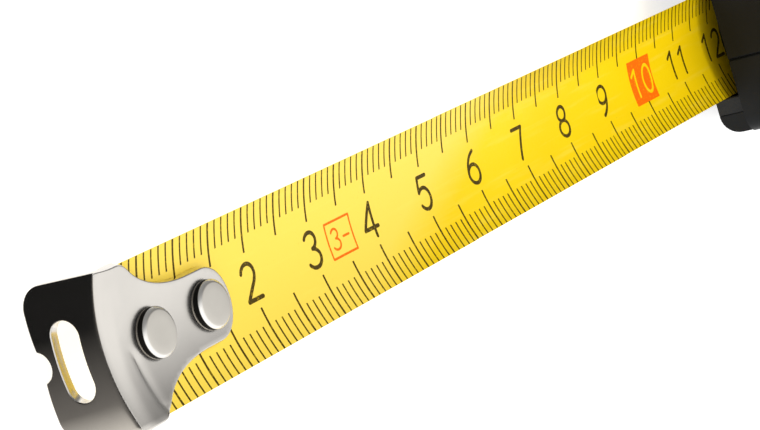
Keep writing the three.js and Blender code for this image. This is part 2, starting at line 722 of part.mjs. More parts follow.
function caseScrew([x, z]) {
  const tip = -HALF_WIDTH + SCREW_TIP;
  const top = HALF_WIDTH;
  const seat = top - SCREW_HEAD_HEIGHT;
  return turnedY([
    [0, tip],
    [SCREW_RADIUS, tip],
    [SCREW_RADIUS, seat],
    [SCREW_HEAD_RADIUS, seat],
    [SCREW_HEAD_RADIUS, top - SCREW_EDGE],
    [SCREW_HEAD_RADIUS - SCREW_EDGE, top],
    [0, top],
  ], x, z, 20);
}

// ---- Coil, spool and spring ----

const discRadius = COIL_RADIUS - ROOM_BELOW;

function tapeCoil() {
  return ring(COIL_CORE_RADIUS, COIL_RADIUS, -COIL_WIDTH / 2, COIL_WIDTH / 2, COIL_X, COIL_Z, 60);
}

// A cup: one side disc and the barrel that the tape is wound on.
function spoolDrum() {
  const floor = -DISC_INNER;
  const under = floor - DISC_THICKNESS;
  const rim = DISC_INNER - FIT;
  const hole = POST_RADIUS + RUNNING;
  const bore = BARREL_RADIUS - BARREL_WALL;
  return turnedY([
    [hole, under],
    [discRadius, under],
    [discRadius, floor],
    [BARREL_RADIUS, floor],
    [BARREL_RADIUS, rim],
    [bore, rim],
    [bore, floor],
    [hole, floor],
    [hole, under],
  ], COIL_X, COIL_Z);
}

function spoolCover() {
  return ring(POST_RADIUS + RUNNING, discRadius, DISC_INNER, DISC_INNER + DISC_THICKNESS, COIL_X, COIL_Z);
}

function frictionWasher(side) {
  const [y0, y1] = ordered(side * WASHER_INNER, side * (WASHER_INNER + WASHER_THICKNESS));
  return ring(POST_RADIUS + RUNNING, POST_RADIUS + WASHER_REACH, y0, y1, COIL_X, COIL_Z, 32);
}

function centrePost() {
  const half = INNER_HALF - FIT;
  const gap = SPRING_THICKNESS + FIT;
  const top = COIL_Z + POST_RADIUS + PAST;
  const y1 = SPRING_WIDTH / 2 + FIT;
  const slit = box(COIL_X - gap, COIL_X + gap, -half - PAST, y1, COIL_Z - POST_RADIUS / 2, top);
  return toGeometry(toSolid(rod(POST_RADIUS, -half, half, COIL_X, COIL_Z, 28)).subtract(slit));
}

// The flat spiral spring that winds the tape back in.
function returnSpring() {
  const inner = POST_RADIUS + SPRING_ROOM;
  const outer = BARREL_RADIUS - BARREL_WALL - SPRING_ROOM - SPRING_THICKNESS;
  const steps = SPRING_TURNS * 20;
  const shape = new THREE.Shape();
  const point = (i, offset) => {
    const angle = (2 * Math.PI * SPRING_TURNS * i) / steps;
    const radius = inner + ((outer - inner) * i) / steps + offset;
    return [COIL_X + radius * Math.cos(angle), COIL_Z + radius * Math.sin(angle)];
  };
  shape.moveTo(...point(0, 0));
  for (let i = 0; i <= steps; i += 1) shape.lineTo(...point(i, SPRING_THICKNESS));
  for (let i = steps; i >= 0; i -= 1) shape.lineTo(...point(i, 0));
  return toGeometry(toSolid(alongY(shape, -SPRING_WIDTH / 2, SPRING_WIDTH / 2)));
}

// ---- Lock ----

function lockButton() {
  const seat = RUNNING;
  const crown = seat + BUTTON_HEIGHT;
  const end = buttonStart + BUTTON_LENGTH;
  let solid = slopeBox(buttonStart, end, BUTTON_WIDTH / 2, seat, crown - RIDGE_HEIGHT);
  const pitch = BUTTON_LENGTH / BUTTON_RIDGES;
  for (let i = 0; i < BUTTON_RIDGES; i += 1) {
    const start = buttonStart + (i + 0.15) * pitch;
    const half = BUTTON_WIDTH / 2 - RIDGE_MARGIN;
    solid = solid.add(slopeBox(start, start + 0.7 * pitch, half, seat + FIT, crown));
  }
  const under = -RIM_WALL - RUNNING;
  const stemEnd = stemStart + STEM_LENGTH;
  const flangeEnd = flangeStart + FLANGE_LENGTH;
  const sunk = 0.5 * FLANGE_THICKNESS;
  solid = solid.add(slopeBox(stemStart, stemEnd, STEM_WIDTH / 2, under - sunk, seat + sunk));
  solid = solid.add(slopeBox(flangeStart, flangeEnd, FLANGE_WIDTH / 2, under - FLANGE_THICKNESS, under));
  return toGeometry(solid);
}

// A bent lever: an upright behind the front wall, a foot over the hook's path, and a
// shoe that rests on the blade behind the rivets' furthest place.
function lockBrake() {
  const half = BRAKE_WIDTH / 2;
  const shoeHalf = BRAKE_WIDTH / 3;
  const front = FRONT_X - RIM_WALL - RUNNING - UPRIGHT_ROOM;
  const footTop = BRAKE_FOOT_Z + BRAKE_THICKNESS;
  const top = FRONT_FACE_HEIGHT - BRAKE_TOP_DROP;
  const upright = box(front - BRAKE_THICKNESS, front, -half, half, BRAKE_FOOT_Z, top);
  const foot = box(SHOE_FRONT - SHOE_LENGTH, front, -half, half, BRAKE_FOOT_Z, footTop);
  const shoeFloor = BLADE_HEIGHT + bladeRise(shoeHalf) + SHOE_GAP;
  const shoe = box(SHOE_FRONT - SHOE_LENGTH, SHOE_FRONT, -shoeHalf, shoeHalf, shoeFloor,
    BRAKE_FOOT_Z + 0.5 * BRAKE_THICKNESS);
  return toGeometry(upright.add(foot).add(shoe));
}

// ---- Belt clip ----

// The clip's strip seen from its edge, between an inner and an outer line.
function clipOutline(line) {
  const shape = new THREE.Shape();
  const half = CLIP_THICKNESS / 2;
  const sideOf = (i, sign) => {
    const before = line[Math.max(i - 1, 0)];
    const after = line[Math.min(i + 1, line.length - 1)];
    const direction = after.clone().sub(before).normalize();
    return line[i].clone().add(new THREE.Vector2(-direction.y, direction.x).multiplyScalar(sign * half));
  };
  line.forEach((_, i) => {
    const point = sideOf(i, 1);
    if (i === 0) shape.moveTo(point.x, point.y);
    else shape.lineTo(point.x, point.y);
  });
  for (let i = line.length - 1; i >= 0; i -= 1) {
    const point = sideOf(i, -1);
    shape.lineTo(point.x, point.y);
  }
  shape.closePath();
  return shape;
}

const clipBaseY = CLIP_SEAT + CLIP_THICKNESS / 2;
const clipBend = (CLIP_GAP + CLIP_THICKNESS) / 2;

function clipSolid(shape) {
  return toSolid(alongX(shape, CLIP_X - CLIP_WIDTH / 2, CLIP_X + CLIP_WIDTH / 2));
}

// The bend at the top is shared: the base keeps the first half, the leaf the second.
function bendPoints(from, to) {
  const centre = new THREE.Vector2(clipBaseY + clipBend, CLIP_TOP - clipBend);
  return Array.from({ length: 6 }, (_, i) => {
    const angle = from + ((to - from) * i) / 5;
    const arm = new THREE.Vector2(Math.cos(angle), Math.sin(angle)).multiplyScalar(clipBend);
    return arm.add(centre);
  });
}

function clipBase() {
  const low = new THREE.Vector2(clipBaseY, CLIP_TOP - CLIP_BASE_LENGTH);
  const line = [low, ...bendPoints(Math.PI, Math.PI / 2 + CLIP_SPLIT)];
  const outside = CLIP_SEAT + CLIP_THICKNESS + PAST;
  const place = [CLIP_X, CLIP_TOP - CLIP_SCREW_DROP];
  const hole = screwBar(SCREW_RADIUS + FIT, HALF_WIDTH - PAST, outside, place);
  return toGeometry(clipSolid(clipOutline(line)).subtract(hole));
}

function clipLeaf() {
  const outer = clipBaseY + 2 * clipBend;
  const tip = CLIP_TOP - CLIP_REACH;
  const crestY = clipBaseY + CLIP_CREST[0];
  const crestZ = tip + CLIP_CREST[1];
  const line = [
    ...bendPoints(Math.PI / 2 - CLIP_SPLIT, 0),
    new THREE.Vector2(outer, CLIP_TOP - CLIP_BASE_LENGTH),
    new THREE.Vector2(crestY + 0.1, crestZ + CLIP_CREST_ROUND),
    new THREE.Vector2(crestY, crestZ),
    new THREE.Vector2(crestY + 0.4, crestZ - CLIP_CREST_ROUND),
    new THREE.Vector2(clipBaseY + CLIP_FLARE, tip),
  ];
  return toGeometry(clipSolid(clipOutline(line)));
}

function clipScrew() {
  const tip = INNER_HALF - 0.5 * SOCKET_DEPTH;
  const seat = CLIP_SEAT + CLIP_THICKNESS + SEAT;
  const crown = seat + CLIP_SCREW_CROWN;
  return turnedY([
    [0, tip],
    [SCREW_RADIUS, tip],
    [SCREW_RADIUS, seat],
    [SCREW_HEAD_RADIUS, seat],
    [SCREW_HEAD_RADIUS, (seat + crown) / 2],
    [SCREW_HEAD_RADIUS / 1.5, crown],
    [0, crown],
  ], CLIP_X, CLIP_TOP - CLIP_SCREW_DROP, 20);
}

// ---- Assembly ----

function piece(name, geometry, material) {
  const mesh = new THREE.Mesh(geometry, material);
  mesh.name = name;
  return mesh;
}

function group(...members) {
  const result = new THREE.Group();
  result.add(...members);
  return result;
}

const caseGroup = group(
  piece('case_left_shell', caseShell(-1), blackPlastic()),
  piece('case_right_shell', caseShell(1), blackPlastic()),
  piece('rubber_grip', toGeometry(gripBand(0)), blackRubber()),
  piece('mouth_bumper', mouthBumper(), blackRubber()),
  piece('side_label', sideLabel(), labelFilm()),
  piece('centre_post', centrePost(), zincScrew()),
  piece('return_spring', returnSpring(), springSteel()),
  piece('friction_washer_left', frictionWasher(-1), whitePlastic()),
  piece('friction_washer_right', frictionWasher(1), whitePlastic()),
  piece('tape_lead', tapeLead(), yellowPaint()),
  ...screwPlaces().map((place, i) => piece(`case_screw_${i + 1}`, caseScrew(place), zincScrew())),
);

const spoolGroup = group(
  piece('spool_drum', spoolDrum(), whitePlastic()),
  piece('spool_cover', spoolCover(), whitePlastic()),
  piece('tape_coil', tapeCoil(), yellowPaint()),
);

const bladeGroup = group(
  piece('blade_front', bladeFront(), yellowPaint()),
  piece('blade_middle', bladeMiddle(), yellowPaint()),
  piece('blade_rear', bladeRear(), yellowPaint()),
  piece('hook_rivet_front', hookRivet(FRONT_RIVET), nickel()),
  piece('hook_rivet_rear', hookRivet(REAR_RIVET), nickel()),
  piece('end_hook', endHook(), nickel()),
);

const lockGroup = group(
  piece('lock_button', lockButton(), blackPlastic()),
  piece('lock_brake', lockBrake(), springSteel()),
);

const clipGroup = group(
  piece('clip_base', clipBase(), springSteel()),
  piece('clip_leaf', clipLeaf(), springSteel()),
  piece('clip_screw', clipScrew(), zincScrew()),
);

const tapeMeasure = group(caseGroup, spoolGroup, bladeGroup, lockGroup, clipGroup);

export default tapeMeasure;
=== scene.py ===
"""Looks for a pocket tape measure with a 13 mm blade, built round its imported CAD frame.

Lengths in this file are millimetres until they reach a mesh, and x, y, z are the row
frame: z = 0 is the base, +X the way the blade pulls out, +Y the belt clip's side.
A station is a distance along the scale from its zero, so x = ZERO_X - station.
"""
import math

import bpy
from mathutils import Matrix, Vector
from mathutils.geometry import delaunay_2d_cdt


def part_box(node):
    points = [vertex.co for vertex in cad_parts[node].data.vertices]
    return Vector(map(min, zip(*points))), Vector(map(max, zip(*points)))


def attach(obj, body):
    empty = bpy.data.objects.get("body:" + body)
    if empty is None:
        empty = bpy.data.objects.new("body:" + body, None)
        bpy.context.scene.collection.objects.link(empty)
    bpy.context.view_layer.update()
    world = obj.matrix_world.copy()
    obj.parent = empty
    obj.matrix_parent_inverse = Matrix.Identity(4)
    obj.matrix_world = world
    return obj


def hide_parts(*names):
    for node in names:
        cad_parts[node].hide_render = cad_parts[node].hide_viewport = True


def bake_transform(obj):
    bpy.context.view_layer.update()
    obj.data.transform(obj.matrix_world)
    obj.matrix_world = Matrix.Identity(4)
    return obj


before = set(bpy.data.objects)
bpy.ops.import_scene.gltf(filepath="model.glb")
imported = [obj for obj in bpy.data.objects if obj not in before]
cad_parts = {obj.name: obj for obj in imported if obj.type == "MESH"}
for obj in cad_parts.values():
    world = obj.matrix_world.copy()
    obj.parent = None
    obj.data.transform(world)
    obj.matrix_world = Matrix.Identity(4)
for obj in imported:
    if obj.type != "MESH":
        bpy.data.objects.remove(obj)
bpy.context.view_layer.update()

MM = 0.001


def cad_box(node):
    low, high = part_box(node)
    return Vector(low) / MM, Vector(high) / MM


HOOK_LOW, HOOK_HIGH = cad_box("end_hook")
STRIP_LOW, STRIP_HIGH = cad_box("blade_front")
SHELL_LOW, SHELL_HIGH = cad_box("case_left_shell")
_, RIGHT_HIGH = cad_box("case_right_shell")
BUMPER_LOW, BUMPER_HIGH = cad_box("mouth_bumper")
LABEL_LOW, LABEL_HIGH = cad_box("side_label")
GRIP_LOW, GRIP_HIGH = cad_box("rubber_grip")
LEAF_LOW, LEAF_HIGH = cad_box("clip_leaf")
BASE_LOW, _ = cad_box("clip_base")

SHEET = 1.0  # the hook's sheet metal
SAG = 1.32  # how far the blade's edges stand above its middle
CHORD = STRIP_HIGH.y - STRIP_LOW.y
FACE_Z = STRIP_HIGH.z - SAG  # the printed face at mid width
ZERO_X = HOOK_HIGH.x - SHEET
MOUTH_X = BUMPER_HIGH.x


# ---- Meshes ----

def rise(y):
    """How far the curved blade stands above its middle."""
    return SAG * (2 * y / CHORD) ** 2


def add_piece(name, verts, faces, body, slot, smooth=40):
    """A mesh piece from points in millimetres, on a CAD body."""
    mesh = bpy.data.meshes.new(name)
    mesh.from_pydata([(x * MM, y * MM, z * MM) for x, y, z in verts], [], faces)
    mesh.validate()
    piece = bpy.data.objects.new(name, mesh)
    bpy.context.scene.collection.objects.link(piece)
    shade(piece, smooth)
    piece.data.materials.append(MATERIALS[slot])
    if body:
        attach(piece, body)
    return piece


def shade(piece, angle):
    piece.data.shade_smooth()
    piece.data.set_sharp_from_angle(angle=math.radians(angle))


def paint(piece, material):
    piece.data.materials.clear()
    piece.data.materials.append(material)


def bevel(piece, width, segments, angle):
    modifier = piece.modifiers.new("edges", "BEVEL")
    modifier.width = width * MM
    modifier.segments = segments
    modifier.limit_method = "ANGLE"
    modifier.angle_limit = math.radians(angle)
    modifier.use_clamp_overlap = True


def outward(mesh_faces):
    """Turns every face of a solid over."""
    verts, faces = mesh_faces
    return verts, [face[::-1] for face in faces]


def rings_solid(rings):
    """Joins closed rings of equal length into a solid with flat ends."""
    count = len(rings[0])
    verts = [point for ring in rings for point in ring]
    last = (len(rings) - 1) * count
    faces = []
    for start in range(0, last, count):
        for j in range(count):
            after = (j + 1) % count
            faces.append((start + j, start + after, start + count + after, start + count + j))
    faces.append(tuple(range(count))[::-1])
    faces.append(tuple(range(last, last + count)))
    return verts, faces


def arc(cx, cy, rx, ry, start, end, steps):
    """Points on an ellipse between two angles in degrees."""
    angles = [math.radians(start + (end - start) * i / steps) for i in range(steps + 1)]
    return [(cx + rx * math.cos(a), cy + ry * math.sin(a)) for a in angles]


def circle(cx, cy, radius, steps):
    """Points all round a circle, each once."""
    return arc(cx, cy, radius, radius, 0, 360, steps)[:-1]


def curve(start, pull, end, steps=12):
    """Points on a quadratic curve."""
    points = []
    for i in range(steps + 1):
        t = i / steps
        weights = ((1 - t) ** 2, 2 * t * (1 - t), t * t)
        points.append(tuple(sum(w * p[k] for w, p in zip(weights, (start, pull, end)))
                            for k in (0, 1)))
    return points


def run(a, b, steps):
    """Points on the straight run from a towards b, without b."""
    return [(a[0] + (b[0] - a[0]) * i / steps, a[1] + (b[1] - a[1]) * i / steps)
            for i in range(steps)]


def heading(path, i):
    """The unit direction of a path at its point i."""
    ahead, behind = path[min(i + 1, len(path) - 1)], path[max(i - 1, 0)]
    return Vector((ahead[0] - behind[0], ahead[1] - behind[1])).normalized()


def turned(x, z, profile, steps):
    """A solid round an axis along Y, through rings of (radius, y)."""
    return rings_solid([[(a, y, b) for a, b in circle(x, z, r, steps)] for r, y in profile])


def rounded(corners, inset, steps):
    """A convex outline through corners of (a, b, radius), counter-clockwise and moved inwards."""
    sharpest = 0.05
    count = len(corners)
    points = [Vector((a, b)) for a, b, _ in corners]
    ways = [(points[(i + 1) % count] - points[i]).normalized() for i in range(count)]
    starts = [points[i] + Vector((-ways[i].y, ways[i].x)) * inset for i in range(count)]
    outline = []
    for i in range(count):
        before, after = ways[i - 1], ways[i]
        cross = before.x * after.y - before.y * after.x
        gap = starts[i] - starts[i - 1]
        corner = starts[i - 1] + before * ((gap.x * after.y - gap.y * after.x) / cross)
        turn = math.atan2(cross, before.dot(after))
        radius = max(corners[i][2] - inset, sharpest)
        tangent = corner - before * radius * math.tan(turn / 2)
        centre = tangent + Vector((-before.y, before.x)) * radius
        first = math.degrees(math.atan2(tangent.y - centre.y, tangent.x - centre.x))
        outline += arc(centre.x, centre.y, radius, radius, first, first + math.degrees(turn), steps)
    return outline


def inside(point, outline):
    x, y = point
    result = False
    for (x0, y0), (x1, y1) in zip(outline, outline[1:] + outline[:1]):
        if (y0 > y) != (y1 > y) and x < x0 + (y - y0) * (x1 - x0) / (y1 - y0):
            result = not result
    return result


def dense(loop, spacing):
    """The loop with extra points on its long straight runs."""
    points = []
    for a, b in zip(loop, loop[1:] + loop[:1]):
        points += run(a, b, max(1, round(math.dist(a, b) / spacing)))
    return points


BORDER_GAP = 0.8  # from the border to the nearest inner point, in spacings


def triangulate(outline, hole, spacing):
    """Points and triangles that fill an outline round a hole, on a grid of inner points."""
    outline, hole = dense(outline, spacing), dense(hole, spacing)
    points, edges = [], []
    for loop in (outline, hole):
        first = len(points)
        points += loop
        edges += [(first + i, first + (i + 1) % len(loop)) for i in range(len(loop))]
    border = [Vector(p) for p in points]
    lows = [min(p[k] for p in outline) for k in (0, 1)]
    spans = [max(p[k] for p in outline) - lows[k] for k in (0, 1)]
    for i in range(1, int(spans[0] / spacing) + 1):
        for j in range(1, int(spans[1] / spacing) + 1):
            point = (lows[0] + i * spacing, lows[1] + j * spacing)
            if not inside(point, outline) or inside(point, hole):
                continue
            nearest = min((Vector(point) - b).length_squared for b in border)
            if nearest > (BORDER_GAP * spacing) ** 2:
                points.append(point)
    found, _, triangles, *_ = delaunay_2d_cdt([Vector(p) for p in points], edges, [], 1, 1e-6)
    kept = []
    for triangle in triangles:
        middle = sum((found[i] for i in triangle), Vector((0, 0))) / 3
        if inside(middle, outline) and not inside(middle, hole):
            kept.append(tuple(triangle))
    return [tuple(p) for p in found], kept


# ---- Materials ----

def set_range(node, *values):
    for socket, value in zip(("From Min", "From Max", "To Min", "To Max"), values):
        node.inputs[socket].default_value = value


class Nodes:
    """Short calls for building one material's nodes in object coordinates."""

    def __init__(self, name, metallic=0.0):
        self.material = bpy.data.materials.new(name)
        self.material.use_nodes = True
        self.tree = self.material.node_tree
        self.shader = self.tree.nodes["Principled BSDF"]
        self.place = self.tree.nodes.new("ShaderNodeTexCoord").outputs["Object"]
        self.set("Metallic", metallic)

    def set(self, socket, value):
        self.shader.inputs[socket].default_value = value

    def link(self, source, socket):
        self.tree.links.new(source, socket)

    def stretched(self, scale):
        node = self.tree.nodes.new("ShaderNodeMapping")
        node.inputs["Scale"].default_value = scale
        self.link(self.place, node.inputs["Vector"])
        return node.outputs["Vector"]

    def along(self, way):
        """How far a point lies along a direction, in metres."""
        node = self.tree.nodes.new("ShaderNodeVectorMath")
        node.operation = "DOT_PRODUCT"
        node.inputs[1].default_value = way
        self.link(self.place, node.inputs[0])
        return node.outputs["Value"]

    def noise(self, scale, detail=3.0, stretch=None, low=0.3, high=0.7):
        """Noise of about 1/scale metres, spread to run from 0 to 1."""
        node = self.tree.nodes.new("ShaderNodeTexNoise")
        node.inputs["Scale"].default_value = scale
        node.inputs["Detail"].default_value = detail
        self.link(self.stretched(stretch) if stretch else self.place, node.inputs["Vector"])
        return self.spread(node.outputs["Fac"], low, high)

    def spread(self, source, low, high, to_low=0.0, to_high=1.0):
        node = self.tree.nodes.new("ShaderNodeMapRange")
        set_range(node, low, high, to_low, to_high)
        self.link(source, node.inputs["Value"])
        return node.outputs["Result"]

    def mix(self, factor, a, b):
        node = self.tree.nodes.new("ShaderNodeMix")
        node.data_type = "RGBA"
        self.link(factor, node.inputs["Factor"])
        for socket, value in ((node.inputs[6], a), (node.inputs[7], b)):
            if isinstance(value, tuple):
                socket.default_value = (*value, 1)
            else:
                self.link(value, socket)
        return node.outputs[2]

    def upright(self, low=0.25, high=0.6):
        """1 where the object's surface stands upright, 0 where it faces up or down."""
        split = self.tree.nodes.new("ShaderNodeSeparateXYZ")
        self.link(self.place.node.outputs["Normal"], split.inputs[0])
        size = self.tree.nodes.new("ShaderNodeMath")
        size.operation = "ABSOLUTE"
        self.link(split.outputs["Z"], size.inputs[0])
        return self.spread(size.outputs["Value"], low, high, 1.0, 0.0)

    def times(self, a, b):
        node = self.tree.nodes.new("ShaderNodeMath")
        node.operation = "MULTIPLY"
        for socket, value in zip(node.inputs, (a, b)):
            if isinstance(value, float):
                socket.default_value = value
            else:
                self.link(value, socket)
        return node.outputs["Value"]

    def bump(self, height, strength, distance):
        node = self.tree.nodes.new("ShaderNodeBump")
        node.inputs["Strength"].default_value = strength
        node.inputs["Distance"].default_value = distance
        self.link(height, node.inputs["Height"])
        if self.shader.inputs["Normal"].links:
            self.link(self.shader.inputs["Normal"].links[0].from_socket, node.inputs["Normal"])
        self.link(node.outputs["Normal"], self.shader.inputs["Normal"])

    def finish(self, color, roughness):
        self.link(color, self.shader.inputs["Base Color"])
        self.link(roughness, self.shader.inputs["Roughness"])
        return self.material


def toned(color, factor, lift=0.0):
    return tuple(c * factor + lift for c in color)


def moulded_plastic(name, color, worn, roughness, grain=9000, depth=0.00002):
    """Moulded plastic: fine spark texture, dust and rubbed edges."""
    n = Nodes(name)
    dust = n.noise(160, 5.0, low=0.45, high=0.75)
    fine = n.noise(grain, 2.0)
    scuffs = n.noise(900, 6.0, (1, 1, 0.12), low=0.7, high=0.86)
    base = n.mix(dust, color, toned(color, 1.2, 0.0015))
    n.bump(fine, 0.3, depth)
    n.set("Specular IOR Level", 0.18)
    handled = n.mix(n.times(scuffs, 0.5), base, worn)
    return n.finish(handled, n.spread(fine, 0, 1, roughness - 0.06, roughness + 0.1))


def rubber(name, color, roughness):
    """Soft rubber: dull, faintly mottled and finely pitted."""
    n = Nodes(name)
    mottle = n.noise(220, 6.0)
    pits = n.noise(5200, 2.0, low=0.35, high=0.65)
    dust = n.noise(60, 5.0, low=0.5, high=0.8)
    n.bump(pits, 0.5, 0.00003)
    n.set("Specular IOR Level", 0.3)
    n.set("Sheen Weight", 0.08)
    n.set("Sheen Roughness", 0.5)
    mottled = n.mix(mottle, color, toned(color, 1.3))
    rubbed = n.mix(dust, mottled, toned(color, 1.4, 0.003))
    return n.finish(rubbed, n.spread(mottle, 0, 1, roughness - 0.06, roughness + 0.08))


def bright_metal(name, color, roughness, stretch, grime_and_painted_shade=0.5, lines=2400):
    """Plated or plain sheet metal: drawn lines, fine scratches and slight clouding."""
    n = Nodes(name, metallic=1.0)
    drawn = n.noise(lines, 3.0, stretch)
    cloud = n.noise(190, 4.0)
    specks = n.noise(3500, 2.0, low=0.66, high=0.8)
    n.bump(drawn, 0.08, 0.000004)
    n.bump(cloud, 0.06, 0.00005)
    shaded = n.mix(cloud, color, toned(color, 0.93))
    spotted = n.mix(n.times(specks, grime_and_painted_shade), shaded, toned(color, 0.55))
    return n.finish(spotted, n.spread(drawn, 0, 1, roughness - 0.05, roughness + 0.07))


def sheet_nickel(name, color, roughness, rubbed=0.13):
    """The hook's plated sheet: satin on top, smoother where it stands upright and is rubbed."""
    n = Nodes(name, metallic=1.0)
    drawn = n.noise(1800, 3.0, (1, 0.10, 1))
    cloud = n.noise(230, 4.0)
    scratches = n.noise(1500, 5.0, (1, 0.05, 1), low=0.66, high=0.78)
    n.bump(drawn, 0.08, 0.000004)
    n.bump(cloud, 0.08, 0.00005)
    shaded = n.mix(cloud, color, toned(color, 0.93))
    marked = n.mix(n.times(scratches, 0.16), shaded, toned(color, 0.5))
    return n.finish(marked, n.spread(n.upright(0.2, 0.75), 0, 1, roughness, rubbed))


def rivet_metal(name, color, roughness):
    """Nickel-plated rivets: satin heads, a painted highlight on the chamfers, and painted shade on
    the rougher sheared sides.
    """
    # The chamfers' painted highlight, the sides' painted shade, and the sides' roughness.
    painted_chamfer_highlight, grime_and_painted_shade, side_roughness = (0.9, 0.88, 0.84), (0.016, 0.015, 0.014), 0.55
    n = Nodes(name, metallic=1.0)
    cloud = n.noise(420, 3.0)
    fine = n.noise(2600, 2.0)
    side = n.upright()
    n.bump(fine, 0.04, 0.000004)
    head = n.mix(cloud, color, toned(color, 0.94))
    # Painted highlight on the chamfer, where the head tilts.
    face = n.mix(n.upright(0.72, 0.95), head, painted_chamfer_highlight)
    # Painted shade wherever the head's side stands upright.
    return n.finish(n.mix(side, face, grime_and_painted_shade), n.spread(side, 0, 1, roughness, side_roughness))


# Where the blade's painted sheen and painted edge shade lie, in metres along a direction.
SHEEN_WAY, SHEEN_SPAN = (1, -2.3, 0), (0.088, 0.100)  # painted sheen, paler towards the hook
NEAR_RIM = (0.0038, 0.0064)  # painted shade at the edges, from the middle out
FAR_RIM = (0.0034, 0.0064)


def blade_enamel(name, color, roughness):
    """The blade's yellow enamel: faint cloud, orange peel, rubbed specks and a clear coat, with a
    painted sheen towards the hook and painted shade along its edges.
    """
    n = Nodes(name)
    cloud = n.noise(90, 4.0)
    peel = n.noise(2600, 2.0)
    specks = n.noise(5200, 3.0, low=0.7, high=0.78)
    streaks = n.noise(1500, 3.0, (0.06, 1, 1), low=0.55, high=0.8)
    n.bump(peel, 0.06, 0.00001)
    n.set("Specular IOR Level", 0.16)
    n.set("Coat Weight", 0.06)
    n.set("Coat Roughness", 0.2)
    shaded = n.mix(cloud, color, (color[0] * 0.97, color[1] * 0.93, color[2] * 0.8))
    # Painted sheen: paler towards the hook and the -Y edge.
    sheen_mask = n.spread(n.along(SHEEN_WAY), *SHEEN_SPAN)
    painted_sheen = n.mix(sheen_mask, shaded, (color[0], color[1] * 1.05, 0.08))
    # Painted shade: darker towards both edges, and less so near the hook.
    rim = n.times(n.spread(n.along((0, 1, 0)), *NEAR_RIM), n.spread(sheen_mask, 0, 1, 0.5, 0.1))
    far_rim = n.times(n.spread(n.along((0, -1, 0)), *FAR_RIM), n.spread(sheen_mask, 0, 1, 0.6, 0.05))
    edge_shaded = n.mix(far_rim, n.mix(rim, painted_sheen, toned(color, 0.72)), toned(color, 0.6))
    rubbed = n.mix(n.times(streaks, 0.25), edge_shaded, (0.9, 0.74, 0.12))
    worn = n.mix(n.times(specks, 0.5), rubbed, (0.45, 0.33, 0.03))
    return n.finish(worn, n.spread(peel, 0, 1, roughness - 0.05, roughness + 0.06))


def printed_ink(name, color, through):
    """Printed ink, thin in places, so that the enamel shows through it."""
    n = Nodes(name)
    thin = n.noise(4200, 4.0, low=0.56, high=0.74)
    n.bump(thin, 0.1, 0.000005)
    n.set("Specular IOR Level", 0.12)
    return n.finish(n.mix(n.times(thin, 0.4), color, through), n.spread(thin, 0, 1, 0.5, 0.7))


def coiled_tape(name, color):
    """The wound tape: fine rings of paint and shadow about the coil's axis."""
    n = Nodes(name)
    low, high = cad_box("tape_coil")
    shift = n.tree.nodes.new("ShaderNodeVectorMath")
    shift.operation = "SUBTRACT"
    shift.inputs[1].default_value = tuple((low + high) * 0.5 * MM)
    n.link(n.place, shift.inputs[0])
    wave = n.tree.nodes.new("ShaderNodeTexWave")
    wave.wave_type = "RINGS"
    wave.rings_direction = "Y"
    wave.inputs["Scale"].default_value = 1700
    wave.inputs["Distortion"].default_value = 0.6
    n.link(shift.outputs[0], wave.inputs["Vector"])
    rings = wave.outputs["Fac"]
    n.bump(rings, 0.3, 0.00004)
    return n.finish(n.mix(rings, toned(color, 0.45), color), n.spread(rings, 0, 1, 0.6, 0.4))


YELLOW = (0.90, 0.625, 0.002)
PLASTICS = {  # colour, worn colour, roughness, and any other grain
    "case_plastic": ((0.003, 0.0036, 0.004), (0.024, 0.025, 0.027), 0.45),
    "label_film": ((0.02, 0.021, 0.023), (0.06, 0.06, 0.06), 0.3, 2600, 0.000006),
    "spool_plastic": ((0.62, 0.6, 0.55), (0.7, 0.69, 0.66), 0.45),
    "button_plastic": ((0.022, 0.023, 0.025), (0.07, 0.07, 0.07), 0.38),
}
MATERIALS = {name: moulded_plastic(name, *look) for name, look in PLASTICS.items()}
MATERIALS |= {
    "grip_rubber": rubber("grip_rubber", (0.0045, 0.005, 0.0055), 0.62),
    "blade_paint": blade_enamel("blade_paint", YELLOW, 0.4),
    "hook_nickel": sheet_nickel("hook_nickel", (0.66, 0.63, 0.585), 0.27),
    "spring_steel": bright_metal("spring_steel", (0.3, 0.31, 0.33), 0.3, (1, 1, 0.1)),
    "clip_steel": bright_metal("clip_steel", (0.40, 0.40, 0.395), 0.3, (1, 1, 0.05), grime_and_painted_shade=0.2),
    "screw_zinc": bright_metal("screw_zinc", (0.6, 0.6, 0.59), 0.3, (1, 1, 1), lines=1600),
}
BLACK_INK = printed_ink("black_ink", (0.06, 0.038, 0.002), YELLOW)
ORANGE_INK = printed_ink("orange_ink", (0.95, 0.145, 0.001), YELLOW)
RIVET_NICKEL = rivet_metal("rivet_nickel", (0.60, 0.57, 0.515), 0.3)
COIL_PAINT = coiled_tape("coil_paint", (0.75, 0.55, 0.02))


# ---- Blade ----

STRIP_THICKNESS = 0.08
STRIP_STEP = 0.11  # from one strip's level to the next one's below it
PRINT_HEIGHT = 0.012
PRINT_ROOT = -0.004  # the marks' undersides, set into the enamel
LAYER_STEP = 0.0006  # keeps marks that cross off one level
STRIPS = ("blade_front", "blade_middle", "blade_rear")
STRIP_BODIES = ("blade", "blade_middle", "blade_rear")


def strip_span(level):
    """The stations at which a strip starts and ends, and its printed face's height."""
    low, high = cad_box(STRIPS[level])
    return ZERO_X - high.x, ZERO_X - low.x, FACE_Z - level * STRIP_STEP


